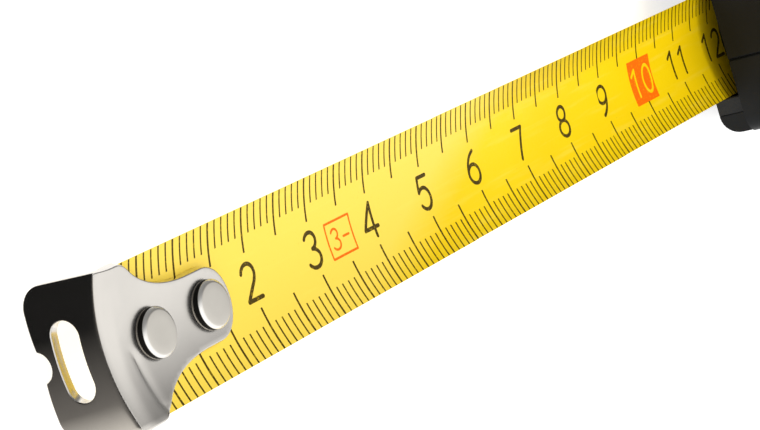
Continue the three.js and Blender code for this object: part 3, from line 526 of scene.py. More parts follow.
def make_strip(level):
    """One length of the blade, a thin curved sheet."""
    near, far, face = strip_span(level)
    across, along = 32, int(far - near) + 1
    half = CHORD / 2
    section = [(half * (2 * j / across - 1), 0.0) for j in range(across + 1)]
    section += [(y, -STRIP_THICKNESS) for y, _ in reversed(section)]
    rings = []
    for i in range(along + 1):
        x = ZERO_X - near - (far - near) * i / along
        rings.append([(x, y, face + rise(y) + lift) for y, lift in section])
    name = f"{STRIPS[level]}_strip"
    strip = add_piece(name, *rings_solid(rings), STRIP_BODIES[level], "blade_paint")
    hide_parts(STRIPS[level])


ROUND_END = ((0.97, 0.25), (0.75, 0.66), (0.38, 0.92))  # (along, across), in half widths
TICK_PARTS = 6


def round_end(point, way, side, bows):
    """Pairs of border points that round a stroke off."""
    return [(point + way * b + side * s, point + way * b - side * s) for b, s in bows]


class Print:
    """Gathers the printed marks of one strip as thin plates that follow its curve."""

    def __init__(self, face):
        self.face = face
        self.verts = []
        self.faces = []
        self.layer = 0

    def point(self, x, y, top):
        lift = PRINT_HEIGHT + LAYER_STEP * (self.layer % 3) if top else PRINT_ROOT
        self.verts.append((x, y, self.face + rise(y) + lift))

    def plate(self, pairs):
        """A closed plate through pairs of opposite border points, from end to end."""
        first = len(self.verts)
        for left, right in pairs:
            for top in (True, False):
                self.point(*left, top)
                self.point(*right, top)
        for i in range(len(pairs) - 1):
            a, b = first + 4 * i, first + 4 * (i + 1)
            self.faces += [(a, a + 1, b + 1, b), (a + 2, b + 2, b + 3, a + 3)]
            self.faces += [(a, b, b + 2, a + 2), (a + 1, a + 3, b + 3, b + 1)]
        last = first + 4 * (len(pairs) - 1)
        self.faces.append((first, first + 2, first + 3, first + 1))
        self.faces.append((last, last + 1, last + 3, last + 2))
        self.layer += 1

    def tick(self, station, outer, inner, width):
        x = ZERO_X - station
        ys = [outer + (inner - outer) * i / TICK_PARTS for i in range(TICK_PARTS + 1)]
        self.plate([((x - width / 2, y), (x + width / 2, y)) for y in ys])

    def stroke(self, path, width):
        """A pen stroke with round ends along points (x, y)."""
        points = [Vector(p) for p in path]
        pairs = []
        for i, point in enumerate(points):
            reach = heading(points, i) * width / 2
            side = Vector((-reach.y, reach.x))
            if i == 0:
                pairs += round_end(point, -reach, side, ROUND_END)
            pairs.append((point + side, point - side))
            if i == len(points) - 1:
                pairs += round_end(point, reach, side, ROUND_END[::-1])
        self.plate([(tuple(a), tuple(b)) for a, b in pairs])

    def piece(self, name, body, ink):
        paint(add_piece(name, self.verts, self.faces, body, "blade_paint", smooth=30), ink)


def line(*corners, spacing=0.06):
    """Points along straight runs, close enough for a stroke to follow the blade's curve."""
    points = []
    for a, b in zip(corners, corners[1:]):
        points += run(a, b, max(2, int(math.dist(a, b) / spacing)))
    return points + [corners[-1]]


# Strokes of each figure, in a box one unit high: x to the right and y up.
FIGURES = {
    "0": [arc(0.31, 0.5, 0.27, 0.47, 90, 450, 40)],
    "1": [line((0.1, 0.76), (0.34, 0.96)), line((0.34, 0.96), (0.34, 0.03))],
    "2": [arc(0.3, 0.7, 0.25, 0.27, 165, -38, 22) + line((0.46, 0.47), (0.04, 0.03)),
          line((0.04, 0.03), (0.6, 0.03))],
    "3": [arc(0.29, 0.745, 0.23, 0.225, 155, -80, 22), arc(0.28, 0.275, 0.28, 0.25, 82, -150, 26)],
    "4": [line((0.44, 0.97), (0.02, 0.28)), line((0.02, 0.28), (0.62, 0.28)),
          line((0.44, 0.97), (0.44, 0.03))],
    "5": [line((0.54, 0.97), (0.14, 0.97)), line((0.14, 0.97), (0.09, 0.56)),
          arc(0.29, 0.34, 0.27, 0.31, 138, -148, 28)],
    "6": [arc(0.31, 0.31, 0.27, 0.28, 0, 360, 34), curve((0.045, 0.36), (0.1, 0.8), (0.46, 0.97))],
    "7": [line((0.04, 0.97), (0.58, 0.97)), line((0.58, 0.97), (0.22, 0.03))],
    "8": [arc(0.31, 0.745, 0.22, 0.225, 90, 450, 30), arc(0.31, 0.275, 0.27, 0.25, 90, 450, 34)],
    "9": [arc(0.31, 0.69, 0.27, 0.28, 0, 360, 34), curve((0.575, 0.64), (0.52, 0.2), (0.16, 0.03))],
}
FIGURE_HEIGHT = 3.35
FIGURE_WIDTH = 0.62
FIGURE_GAP = 0.16
FIGURE_SPREAD = 1.13  # how much wider the figures are printed
FIGURE_SHIFT = {2: 0.15, 3: 0.1, 4: 0.25}  # towards the hook
USUAL_SHIFT = 0.08

# Inner ends and widths of the marks at each centimetre, half and millimetre.
TICK_MARGIN = 0.02
TICK_INNER = {10: 2.45, 5: 2.62, 1: 3.92}
TICK_WIDTH = {10: 0.24, 5: 0.24, 1: 0.19}

# The orange marks, as stations and half widths.
FRAME, FRAME_HALF, FRAME_MIDDLE, FRAME_LINE = (32.5, 36.6), 1.62, 0.16, 0.21
FRAME_FIGURE, FRAME_FIGURE_HEIGHT = 33.8, 2.0
BAR, BAR_MIDDLE, BAR_LINE = (35.05, 36.0), 0.22, 0.22
TEN_BLOCK, TEN_HALF, TEN_PARTS = (97.2, 102.9), 2.5, 24


def write(ink, text, station, middle=0.06, height=FIGURE_HEIGHT, stroke=0.38):
    """Writes figures centred on a station, read with the hook on the left."""
    width = len(text) * FIGURE_WIDTH + (len(text) - 1) * FIGURE_GAP
    for index, figure in enumerate(text):
        left = index * (FIGURE_WIDTH + FIGURE_GAP) - width / 2
        for points in FIGURES[figure]:
            ink.stroke([(ZERO_X - station - (left + x) * height * FIGURE_SPREAD,
                         middle - (y - 0.5) * height) for x, y in points], stroke)


def print_ticks(ink, first, last):
    for station in range(first, last + 1):
        kind = 10 if station % 10 == 0 else 5 if station % 5 == 0 else 1
        for side in (-1, 1):
            outer, inner = side * (CHORD / 2 - TICK_MARGIN), side * TICK_INNER[kind]
            ink.tick(station, outer, inner, TICK_WIDTH[kind])


def print_length_mark(ink):
    """A generic length mark: a frame with a figure 3 and a bar in it."""
    x0, x1 = (ZERO_X - station for station in FRAME)
    y0, y1 = FRAME_MIDDLE - FRAME_HALF, FRAME_MIDDLE + FRAME_HALF
    corners = [(x0, y0), (x1, y0), (x1, y1), (x0, y1)]
    for a, b in zip(corners, corners[1:] + corners[:1]):
        ink.stroke(line(a, b, spacing=0.4), FRAME_LINE)
    write(ink, "3", FRAME_FIGURE, FRAME_MIDDLE, FRAME_FIGURE_HEIGHT, BAR_LINE)
    ink.stroke(line(*[(ZERO_X - station, BAR_MIDDLE) for station in BAR], spacing=0.4), BAR_LINE)


def print_ten_block(ink):
    x0, x1 = (ZERO_X - station for station in TEN_BLOCK)
    for i in range(TEN_PARTS):
        y0, y1 = (TEN_HALF * (2 * k / TEN_PARTS - 1) for k in (i, i + 1))
        ink.plate([((x0, y0), (x0, y1)), ((x1, y0), (x1, y1))])


def print_scale(level):
    """The scale on one strip: ticks, figures and the orange boxes."""
    name, body = STRIPS[level], STRIP_BODIES[level]
    near, far, face = strip_span(level)
    first = math.ceil(near + 0.2) if level == 0 else math.ceil(near + 1.1)
    last = min(math.floor(far - 0.2), math.floor(ZERO_X - MOUTH_X) + 1)
    ink = Print(face)
    print_ticks(ink, first, last)
    for centimetre in range(2, 13):
        if first - 1 < 10 * centimetre <= last and centimetre != 10:
            shift = FIGURE_SHIFT.get(centimetre, USUAL_SHIFT)
            write(ink, str(centimetre), 10 * centimetre - shift)
    ink.piece(f"{name}_scale", body, BLACK_INK)
    if level == 0:
        mark = Print(face)
        print_length_mark(mark)
        mark.piece("length_mark", body, ORANGE_INK)
    if first <= 100 <= last:
        ten = Print(face)
        print_ten_block(ten)
        ten.piece("ten_block", body, ORANGE_INK)
        figures = Print(face + PRINT_HEIGHT)
        write(figures, "10", 100, height=3.3, stroke=0.36)
        figures.piece("ten_figures", body, MATERIALS["blade_paint"])


# ---- End hook and rivets ----

HOOK_HALF = (HOOK_HIGH.y - HOOK_LOW.y) / 2
HOOK_FOOT = HOOK_LOW.z - FACE_Z
SHEET_TOP = 1.0  # the hook's upper face above the blade's
PLATE_THICKNESS = 0.94
BEND_RADIUS = 0.63  # of the plate's middle
BEND_LENGTH = BEND_RADIUS * math.pi / 2
BEND_REACH = BEND_RADIUS + PLATE_THICKNESS / 2
BEND_X = ZERO_X + SHEET - BEND_REACH
BEND_Z = SHEET_TOP - BEND_REACH
FRONT_RIVET, REAR_RIVET = 4.55, 12.25  # stations
LOBE = 3.2  # half the width of the hook's rear end
SHOULDER, SHOULDER_ROUND, WAIST = 1.9, 0.8, 10.5
NECK_PULL = 0.45
HOOK_CORNER = 2.3
NOTCH_HEIGHT, NOTCH_RADIUS = 1.05, 1.3
SLOT_Z, SLOT_RADIUS, SLOT_REACH = -3.1, 1.4, 2.0
EDGE_STEP = 0.35


def unbent(y, z):
    """Where a point of the end plate lies on the flat sheet: past the bend's start, and y."""
    return BEND_LENGTH + BEND_Z + rise(y) - z, y


def hook_outline():
    """The flat sheet's outline, from the notch round by +Y to the lobe and back."""
    notch = arc(0, HOOK_FOOT + NOTCH_HEIGHT - NOTCH_RADIUS, NOTCH_RADIUS, NOTCH_RADIUS, 89, 11.5, 9)
    corner_z = HOOK_FOOT + HOOK_CORNER
    corner = arc(HOOK_HALF - HOOK_CORNER, corner_z, HOOK_CORNER, HOOK_CORNER, -90, 0, 14)
    side = [(HOOK_HALF, corner_z + EDGE_STEP * i) for i in range(1, 11)]
    half = [unbent(y, z) for y, z in notch + corner + side]
    setback = BEND_X - ZERO_X
    shoulder = -SHOULDER - setback
    waist = -WAIST - setback
    pull = -NECK_PULL * (SHOULDER + WAIST) - setback
    turn = (shoulder - SHOULDER_ROUND, HOOK_HALF - SHOULDER_ROUND)
    half += [(EDGE_STEP * i, HOOK_HALF) for i in range(3, -2, -1)]
    half += curve((shoulder + SHOULDER_ROUND, HOOK_HALF), (shoulder, HOOK_HALF), turn, 8)
    half += curve(turn, (pull, LOBE), (waist, LOBE), 26)[1:]
    half += arc(-REAR_RIVET - setback, 0, LOBE, LOBE, 90, 179, 20)
    return half + [(s, -y) for s, y in reversed(half)]


def nail_slot():
    ends = arc(SLOT_REACH, SLOT_Z, SLOT_RADIUS, SLOT_RADIUS, -90, 90, 14)
    ends += arc(-SLOT_REACH, SLOT_Z, SLOT_RADIUS, SLOT_RADIUS, 90, 270, 14)
    return [unbent(y, z) for y, z in ends]


CREASE = ((1.0, -0.4), (1.5, 1.3), (1.7, 3.4), (1.8, 5.2), (2.2, 6.6))  # (back, y)
CREASE_DEPTH, CREASE_WIDTH, CREASE_START = 0.15, 0.42, 1.5


def crease(back, y):
    """Depth of the shallow valley that the press left beside the bend, on the +Y side."""
    near = math.inf
    for a, b in zip(CREASE, CREASE[1:]):
        if a[1] <= y < b[1]:
            near = abs(back - (a[0] + (b[0] - a[0]) * (y - a[1]) / (b[1] - a[1])))
    growth = max(0.0, min(1.0, y / CREASE_START))
    return CREASE_DEPTH * math.exp(-(near / CREASE_WIDTH) ** 2) * growth


def bent(s, y):
    """The sheet's middle surface in place, for a point of the flat sheet."""
    if s <= 0:
        x, z = BEND_X + s, BEND_Z + BEND_RADIUS
        z -= crease(-s, y)
    elif s < BEND_LENGTH:
        x = BEND_X + BEND_RADIUS * math.sin(s / BEND_RADIUS)
        z = BEND_Z + BEND_RADIUS * math.cos(s / BEND_RADIUS)
    else:
        x, z = BEND_X + BEND_RADIUS, BEND_Z - (s - BEND_LENGTH)
    return x, y, FACE_Z + z + rise(y)


def make_hook():
    points, triangles = triangulate(hook_outline(), nail_slot(), 0.3)
    verts, faces = outward(([bent(*p) for p in points], triangles))
    hook = add_piece("end_hook_plate", verts, faces, "hook", "hook_nickel", smooth=35)
    thick = hook.modifiers.new("sheet", "SOLIDIFY")
    thick.thickness = PLATE_THICKNESS * MM
    thick.offset = 0
    bevel(hook, 0.14, 3, 50)
    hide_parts("end_hook")


RIVET_HEAD, RIVET_HEIGHT, RIVET_SHANK, RIVET_TAIL = 2.1, 0.88, 0.9, 1.5


def make_rivet(name, station):
    """A flat rivet head that sits down on the curved plate, with its shank and tail."""
    x0 = ZERO_X - station
    plate = FACE_Z + SHEET_TOP
    top = plate + RIVET_HEIGHT
    tail, shank, head = RIVET_TAIL, RIVET_SHANK, RIVET_HEAD
    # Radius, height, and 1 where the ring follows the blade's curve.
    profile = [(tail, FACE_Z - 0.46, 0), (tail, FACE_Z - 0.2, 0), (shank, FACE_Z - 0.19, 0),
               (shank, plate + 0.01, 0), (2.06, plate + 0.012, 1), (head, plate + 0.07, 1),
               (head, top - 0.3, 0), (2.08, top - 0.25, 0), (1.86, top - 0.05, 0),
               (1.8, top - 0.02, 0), (1.7, top - 0.005, 0), (1.1, top, 0), (0.5, top, 0),
               (0.15, top, 0)]
    rings = []
    for radius, z, follows in profile:
        rings.append([(x0 + a, b, z + follows * rise(b)) for a, b in circle(0, 0, radius, 64)])
    rivet = add_piece(name + "_head", *rings_solid(rings), "blade", "hook_nickel", smooth=30)
    paint(rivet, RIVET_NICKEL)
    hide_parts(name)


# ---- Case ----

CASE_EDGE = 2.2
SEAM_GROOVE = 0.22
WALL = 1.8
SEAM_Y = SHELL_HIGH.y
SEAM_GAP = 0.02
CHIN, LIP_DROP = 12.2, 1.8  # the underside's slope up to the mouth, and its end below the blade
SLOPE_FOOT, SLOPE_RUN = 31, 16.6  # the sloping face's lower edge, and its length along X
BROW_Z = BUMPER_HIGH.z + 0.6
MOUTH_FLOOR = 6.3
MOUTH_HALF = HOOK_HALF + 0.3
PAST_FRONT = MOUTH_X + 9  # past the case, for solids that cut it
PAST_SIDE, PAST_BASE = 20, -2
FIT = 0.1
ROUND_FIT = 0.12
SCREW_POCKET = 1.35


def case_corners():
    """The case's outline as (x, z, radius), counter-clockwise from the foot of the chin."""
    x0, x1, top = SHELL_LOW.x, SHELL_HIGH.x, SHELL_HIGH.z
    brow = x1 - MOUTH_X
    return [
        (MOUTH_X - CHIN, SHELL_LOW.z, 8),
        (x1, (FACE_Z - LIP_DROP) * (1 + brow / CHIN), 2.5),
        (x1, SLOPE_FOOT, 7),
        (x1 - SLOPE_RUN, top, 8),
        (x0, top, 17),
        (x0, SHELL_LOW.z, 6),
    ]


def plain_mesh(name, verts, faces):
    return add_piece(name, verts, faces, None, "case_plastic")


def block(x0, x1, y0, y1, z0, z1):
    outline = ((y0, z0), (y1, z0), (y1, z1), (y0, z1))
    rings = [[(x, y, z) for y, z in outline] for x in (x0, x1)]
    return plain_mesh("cutter", *rings_solid(rings))


def loft(rings):
    """A solid from (y, inset) pairs round the case's outline."""
    return rings_solid([[(x, y, z) for x, z in rounded(case_corners(), inset, 12)]
                        for y, inset in rings])


def cylinder(x, z, radius, y0, y1):
    ends = sorted((y0, y1), reverse=True)  # from +Y down, so that its faces point outwards
    return plain_mesh("cutter", *turned(x, z, [(radius, y) for y in ends], 72))


def combine(piece, other, operation="DIFFERENCE"):
    """Applies a boolean at once and removes the other solid."""
    modifier = piece.modifiers.new("cut", "BOOLEAN")
    modifier.operation = operation
    modifier.solver = "EXACT"
    modifier.object = other
    depsgraph = bpy.context.evaluated_depsgraph_get()
    mesh = bpy.data.meshes.new_from_object(piece.evaluated_get(depsgraph))
    piece.modifiers.clear()
    piece.data = mesh
    bpy.data.objects.remove(other)


def dress(piece, body, slot, node, smooth):
    """Finishes a piece that solids have cut: shading, material, body and CAD node."""
    shade(piece, smooth)
    paint(piece, MATERIALS[slot])
    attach(piece, body)
    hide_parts(node)


def case_rings(y0, y1, edge, groove):
    """Rings from the seam at y0 to the side at y1, rounded over onto the side."""
    way = 1 if y1 > y0 else -1
    rings = [(y0, groove), (y0 + way * groove, 0.0)]
    rings += [(y0 + (y1 - way * edge - y0) * t, 0.0) for t in (0.35, 0.7)]
    for i in range(9):
        angle = math.pi / 2 * i / 8
        rings.append((y1 - way * edge * (1 - math.sin(angle)), edge * (1 - math.cos(angle))))
    return rings


def make_shell(name, y_seam, y_side):
    way = 1 if y_side > y_seam else -1
    solid = loft(case_rings(y_seam, y_side, CASE_EDGE, SEAM_GROOVE))
    inner = loft([(y_seam - way, WALL), (y_side - way * WALL, WALL)])
    if way > 0:
        solid, inner = outward(solid), outward(inner)
    shell = plain_mesh(name, *solid)
    hollow = plain_mesh("cutter", *inner)
    for piece, wall in ((shell, 0), (hollow, WALL)):
        corner = (MOUTH_X - wall, PAST_FRONT, -PAST_SIDE, PAST_SIDE, PAST_BASE, BROW_Z + wall)
        combine(piece, block(*corner))
    combine(shell, hollow)
    mouth = (MOUTH_X - 4, MOUTH_X + 6, -MOUTH_HALF, MOUTH_HALF, MOUTH_FLOOR, BROW_Z)
    seat_half = BUMPER_HIGH.y + FIT
    seat = (BUMPER_LOW.x - FIT, MOUTH_X + 2, -seat_half, seat_half, PAST_BASE, BUMPER_HIGH.z + FIT)
    combine(shell, block(*mouth))
    combine(shell, block(*seat))
    combine(shell, lock_window())
    combine(shell, grip_recess())
    return shell


def slope_frame():
    """The sloping face's middle, and unit vectors up along it and out of it."""
    low, high = (Vector((x, 0, z)) for x, z, _ in case_corners()[2:4])
    up = (high - low).normalized()
    return (low + high) / 2, up, Vector((up.z, 0, -up.x))


def on_slope(along, across, out):
    middle, up, outwards = slope_frame()
    return tuple(middle + up * along + outwards * out + Vector((0, across, 0)))


# Along the sloping face, from its middle.
BUTTON_START, BUTTON_LENGTH, BUTTON_HALF = -7.0, 9, 5.0
STEM_START, STEM_LENGTH = BUTTON_START + 2.3, 4.4
FLANGE_START, FLANGE_LENGTH = STEM_START - 1.8, 8
BUTTON_TRAVEL, WINDOW_SPARE = 5, 0.3


def slope_block(start, length, half, out0, out1, radius, name="cutter"):
    """A block standing on the slope, with round corners seen from above."""
    end = start + length
    corners = ((start, -half), (end, -half), (end, half), (start, half))
    outline = rounded([(a, b, radius) for a, b in corners], 0, 6)
    rings = [[on_slope(a, b, out) for a, b in outline] for out in (out0, out1)]
    return plain_mesh(name, *outward(rings_solid(rings)))


def lock_window():
    length = STEM_LENGTH + BUTTON_TRAVEL + 2 * WINDOW_SPARE
    return slope_block(STEM_START - WINDOW_SPARE, length, 2.5, -4, 3, 0.8)


GRIP_HALF = 7.5
GRIP_DEPTH = 1.3
GRIP_TOP_ZONE, GRIP_BACK_ZONE = 12, 8  # how near the case's top or back the grip's path lies
RIB_HEIGHT, RIB_PITCH, RIB_HALF, RIB_FADE = 0.42, 2.6, 6.2, 0.5
GRIP_END, GRIP_END_DROP = 2.2, 0.12  # its ends sink to the case over this length
# Half of the band's section: y, and height as a share of the depth.
GRIP_SECTION = [(-7.5, 0.0), (-7.5, 0.55), (-7.38, 0.86), (-7.1, 0.98), (-6.4, 1.0), (-6.0, 1.0),
                (-5.6, 1.0), (-3.7, 1.0), (-1.9, 1.0)]


def grip_path(inset, spare=0.0):
    """The case's outline that the grip covers, from the front of the top to the back's foot."""
    outline = rounded(case_corners(), inset, 40)
    points = []
    for a, b in zip(outline, outline[1:] + outline[:1]):
        points += run(a, b, max(1, int(math.dist(a, b) / EDGE_STEP)))
    front, foot = GRIP_HIGH.x + spare, GRIP_LOW.z - spare
    top, back = SHELL_HIGH.z - GRIP_TOP_ZONE, SHELL_LOW.x + GRIP_BACK_ZONE
    return [(x, z) for x, z in points if (z > top and x < front) or (x < back and z > foot)]


def grip_recess():
    half = GRIP_HALF + FIT
    outline = grip_path(-1.0, FIT) + grip_path(GRIP_DEPTH + FIT, FIT)[::-1]
    rings = [[(x, y, z) for x, z in outline] for y in (half, -half)]
    return plain_mesh("cutter", *rings_solid(rings))


def make_grip():
    """The rubber band over the back, with rounded ribs across it."""
    inner = grip_path(GRIP_DEPTH)
    travelled = [0.0]
    for a, b in zip(inner, inner[1:]):
        travelled.append(travelled[-1] + math.dist(a, b))
    section = GRIP_SECTION + [(0.0, 1.0)] + [(-y, h) for y, h in reversed(GRIP_SECTION)]
    rings = []
    for i, (x, z) in enumerate(inner):
        way = heading(inner, i)
        out = Vector((way.y, -way.x))
        s = travelled[i]
        end = min(1.0, min(s, travelled[-1] - s) / GRIP_END)
        wave = 0.5 - 0.5 * math.cos(2 * math.pi * s / RIB_PITCH)
        ring = []
        for y, h in section:
            ribbed = max(0.0, min(1.0, (RIB_HALF - abs(y)) / RIB_FADE))
            rib = RIB_HEIGHT * wave * ribbed * end * (h >= 1.0)
            height = GRIP_DEPTH * h + rib - GRIP_END_DROP * (1 - end) * h
            ring.append((x + out.x * height, y, z + out.y * height))
        rings.append(ring)
    grip = add_piece("grip_band", *rings_solid(rings), "case", "grip_rubber", smooth=50)
    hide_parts("rubber_grip")


def pocket(shell, low, high, depth, side):
    """Cuts a round pocket for a round CAD node into a shell's side."""
    centre = (low + high) / 2
    y = SHELL_LOW.y if side < 0 else RIGHT_HIGH.y
    radius = (high.x - low.x) / 2 + ROUND_FIT
    combine(shell, cylinder(centre.x, centre.z, radius, y - side * depth, y + side))


def make_case():
    left = make_shell("case_left_body", SEAM_Y, SHELL_LOW.y)
    pocket(left, LABEL_LOW, LABEL_HIGH, LABEL_HIGH.y - LABEL_LOW.y + FIT, -1)
    dress(left, "case", "case_plastic", "case_left_shell", 32)
    right = make_shell("case_right_body", SEAM_Y + SEAM_GAP, RIGHT_HIGH.y)
    for i in range(1, 5):
        pocket(right, *cad_box(f"case_screw_{i}"), SCREW_POCKET, 1)
    dress(right, "case", "case_plastic", "case_right_shell", 32)
    for shell in (left, right):
        bevel(shell, 0.16, 2, 50)
    make_grip()


LABEL_RINGS = (1.0, 5.2)  # in from its rim
LABEL_RIDGE = ((0, 0), (0.12, 0.14), (0.5, 0.16), (0.62, 0))  # (further in, raised)


def make_label():
    """A blank label with two raised rings, in place of the maker's one."""
    centre = (LABEL_LOW + LABEL_HIGH) / 2
    rim = (LABEL_HIGH.x - LABEL_LOW.x) / 2
    out, back = LABEL_LOW.y, LABEL_HIGH.y
    profile = [(rim, back), (rim, out + 0.15), (rim - 0.05, out + 0.05), (rim - 0.15, out)]
    for inset in LABEL_RINGS:
        profile += [(rim - inset - a, out - b) for a, b in LABEL_RIDGE]
    profile += [(6.0, out - 0.02), (3.0, out - 0.05), (0.4, out - 0.06)]
    solid = turned(centre.x, centre.z, profile, 96)
    label = add_piece("blank_label", *solid, "case", "label_film", smooth=25)
    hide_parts("side_label")


# ---- Lock button, clip and screws ----

RIDGE_START, RIDGE_PITCH, RIDGE_LENGTH = 0.9, 1.95, 1.15


def make_button():
    """The sliding button: a pad with ridges, its stem, and the flange that holds it in."""
    button = slope_block(BUTTON_START, BUTTON_LENGTH, BUTTON_HALF, 0.3, 2.0, 1.6, "lock_slider")
    for i in range(4):
        start = BUTTON_START + RIDGE_START + RIDGE_PITCH * i
        combine(button, slope_block(start, RIDGE_LENGTH, 4.1, 1.2, 2.9, 0.5), "UNION")
    combine(button, slope_block(STEM_START, STEM_LENGTH, 2.2, -2.6, 0.8, 0.3), "UNION")
    combine(button, slope_block(FLANGE_START, FLANGE_LENGTH, 4.0, -3.1, -2.1, 0.3), "UNION")
    dress(button, "lock", "button_plastic", "lock_button", 40)
    bevel(button, 0.28, 3, 50)


CLIP_HALF = (LEAF_HIGH.x - LEAF_LOW.x) / 2
CLIP_X = (LEAF_HIGH.x + LEAF_LOW.x) / 2
CLIP_SHEET = 0.8
CLIP_EDGE = 0.16
CLIP_BEND = 1.8
BASE_ROUND, BASE_NARROWEST = 2.4, 0.72  # the length and start of each end's rounding
TIP_ROUND, TIP_NARROWEST = 5.0, 0.55


def clip_strip(name, path, widths):
    """A springy strip along points (y, z), with the given half widths along it."""
    rings = []
    for i, (y, z) in enumerate(path):
        way = heading(path, i)
        out = Vector((-way.y, way.x)) * CLIP_SHEET / 2
        half = widths[i]
        rim = 1 - CLIP_EDGE / half
        section = [(-1, -0.6), (-1, 0.6), (-rim, 1), (-0.5, 1), (0, 1), (0.5, 1), (rim, 1),
                   (1, 0.6), (1, -0.6), (rim, -1), (0.5, -1), (0, -1), (-0.5, -1), (-rim, -1)]
        rings.append([(CLIP_X + across * half, y + out.x * lift, z + out.y * lift)
                      for across, lift in section])
    return add_piece(name, *rings_solid(rings), None, "clip_steel")


def end_width(share, narrowest):
    """The clip's half width at a share of the way through a rounded end."""
    rounding = math.sqrt(max(0.0, 1 - max(0.0, 1 - share) ** 2))
    return CLIP_HALF * (narrowest + (1 - narrowest) * rounding)


def smooth_path(points, steps):
    """A smooth line through points."""
    path = []
    ends = [points[0], *points, points[-1]]
    for i in range(1, len(ends) - 2):
        p0, p1, p2, p3 = (Vector(ends[k]) for k in range(i - 1, i + 3))
        for j in range(steps):
            t = j / steps
            bow, twist = 2 * p0 - 5 * p1 + 4 * p2 - p3, 3 * p1 - p0 - 3 * p2 + p3
            path.append(tuple(0.5 * (2 * p1 + (p2 - p0) * t + bow * t * t + twist * t ** 3)))
    return path + [points[-1]]


def make_clip():
    """The belt clip: its base and bend as one strip, and the leaf that springs."""
    base_y = BASE_LOW.y + CLIP_SHEET / 2
    top = LEAF_HIGH.z - CLIP_SHEET / 2 - CLIP_BEND
    outer = base_y + 2 * CLIP_BEND
    base = [(base_y, BASE_LOW.z + i) for i in range(int(top - BASE_LOW.z))]
    over = arc(base_y + CLIP_BEND, top, CLIP_BEND, CLIP_BEND, 180, 0, 20)
    joint = (outer, top - 1.0)
    hoop = base + over + [joint]
    widths = [end_width(i / BASE_ROUND, BASE_NARROWEST) for i in range(len(hoop))]
    strip = clip_strip("clip_hoop", hoop, widths)
    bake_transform(strip)
    tip = LEAF_LOW.z
    crest = base_y + 0.55
    path = smooth_path([joint, (outer, top - 5), (outer - 0.15, top - 11), (outer - 1.2, top - 18),
                        (crest + 0.35, tip + 7.2), (crest, tip + 4.7), (crest + 0.45, tip + 2.6),
                        (crest + 1.75, tip + 0.4)], 8)
    widths = [end_width((z - tip) / TIP_ROUND, TIP_NARROWEST) for _, z in path]
    leaf = clip_strip("clip_tongue", path, widths)
    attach(leaf, "clip")
    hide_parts("clip_leaf")
    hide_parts("clip_base")


SCREW_HEAD, SCREW_SHANK = 1.05, 1.1
CROSS_REACH, CROSS_HALF, CROSS_DEPTH = 0.62, 0.24, 0.6


def make_screw(name, dome=0.0, sunk=0.0):
    """A pan-headed screw with a cross recess, in the place of a CAD screw."""
    low, high = cad_box(name)
    x, z = (low.x + high.x) / 2, (low.z + high.z) / 2
    radius = (high.x - low.x) / 2
    top = high.y - sunk
    neck = top - SCREW_HEAD
    profile = [(SCREW_SHANK, low.y), (SCREW_SHANK, neck), (radius, neck + 0.02),
               (radius, top - 0.35 - dome), (radius - 0.1, top - 0.16 - dome),
               (radius - 0.35, top - 0.04 - dome * 0.6), (radius * 0.5, top)]
    screw = plain_mesh(f"{name}_body", *outward(turned(x, z, profile, 40)))
    reach = radius * CROSS_REACH
    for a, b in ((reach, CROSS_HALF), (CROSS_HALF, reach)):
        combine(screw, block(x - a, x + a, top - CROSS_DEPTH, top + 1, z - b, z + b))
    dress(screw, "case", "screw_zinc", name, 35)


# ---- CAD nodes that stay ----

STAYING = {
    "grip_rubber": ("mouth_bumper",),
    "screw_zinc": ("centre_post",),
    "spring_steel": ("return_spring", "lock_brake"),
    "spool_plastic": ("friction_washer_left", "friction_washer_right", "spool_drum", "spool_cover"),
    "blade_paint": ("tape_lead",),
}


def finish_cad_nodes():
    for slot, names in STAYING.items():
        for name in names:
            paint(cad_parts[name], MATERIALS[slot])
    paint(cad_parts["tape_coil"], COIL_PAINT)
    bevel(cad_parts["mouth_bumper"], 0.25, 3, 40)


# ---- Camera, light and floor ----

CAMERA_PLACE = Vector((291.7, -26.5, 131.7))
CAMERA_TARGET = Vector((106.6, 0, 7.6))
CAMERA_ROLL = 77.4  # degrees: the blade runs up across the picture
CAMERA_LENS = 115.9
SENSOR_WIDTH = 36
CLIP_START = 0.005  # metres


def make_camera():
    data = bpy.data.cameras.new("camera")
    data.lens = CAMERA_LENS
    data.sensor_width = SENSOR_WIDTH
    data.clip_start = CLIP_START
    camera = bpy.data.objects.new("camera", data)
    bpy.context.scene.collection.objects.link(camera)
    camera.location = CAMERA_PLACE * MM
    level = (CAMERA_TARGET - CAMERA_PLACE).to_track_quat("-Z", "Y").to_matrix()
    camera.rotation_euler = (level @ Matrix.Rotation(math.radians(CAMERA_ROLL), 3, "Z")).to_euler()
    bpy.context.scene.camera = camera


# Metres.
KEY_PLACE, KEY_TARGET = Vector((0.06, -0.2, 0.8)), Vector((0.10, 0, 0.01))
KEY_SIZE, KEY_POWER = 0.5, 3.0
FLOOR_REACH = 3.0
FLOOR_DROP = 0.03 * MM  # keeps the floor off the case's flat base

# The world is bright on one side and dim on the other.
BRIGHT_SIDE = (0.12, 0.90, 0.42)
BRIGHT, DIM = 1.26, 0.26
DIM_END, BRIGHT_START = -0.25, 0.5

# The card in front of the hook, a painted reflection that only reflections see, in millimetres.
CARD_CORNERS = ((149.2, -60), (290, -60), (290, 45), (149.2, 25))
CARD_HEIGHT = 0.4
CARD_LEAN = 0.14
CARD_STOPS = (-2.2, 4.4, 6.9)  # y at the hook's face
CARD_BLACK, CARD_DARK, CARD_LIGHT = (0.012, 0.012, 0.012), (0.21, 0.2, 0.19), (0.95, 0.92, 0.87)


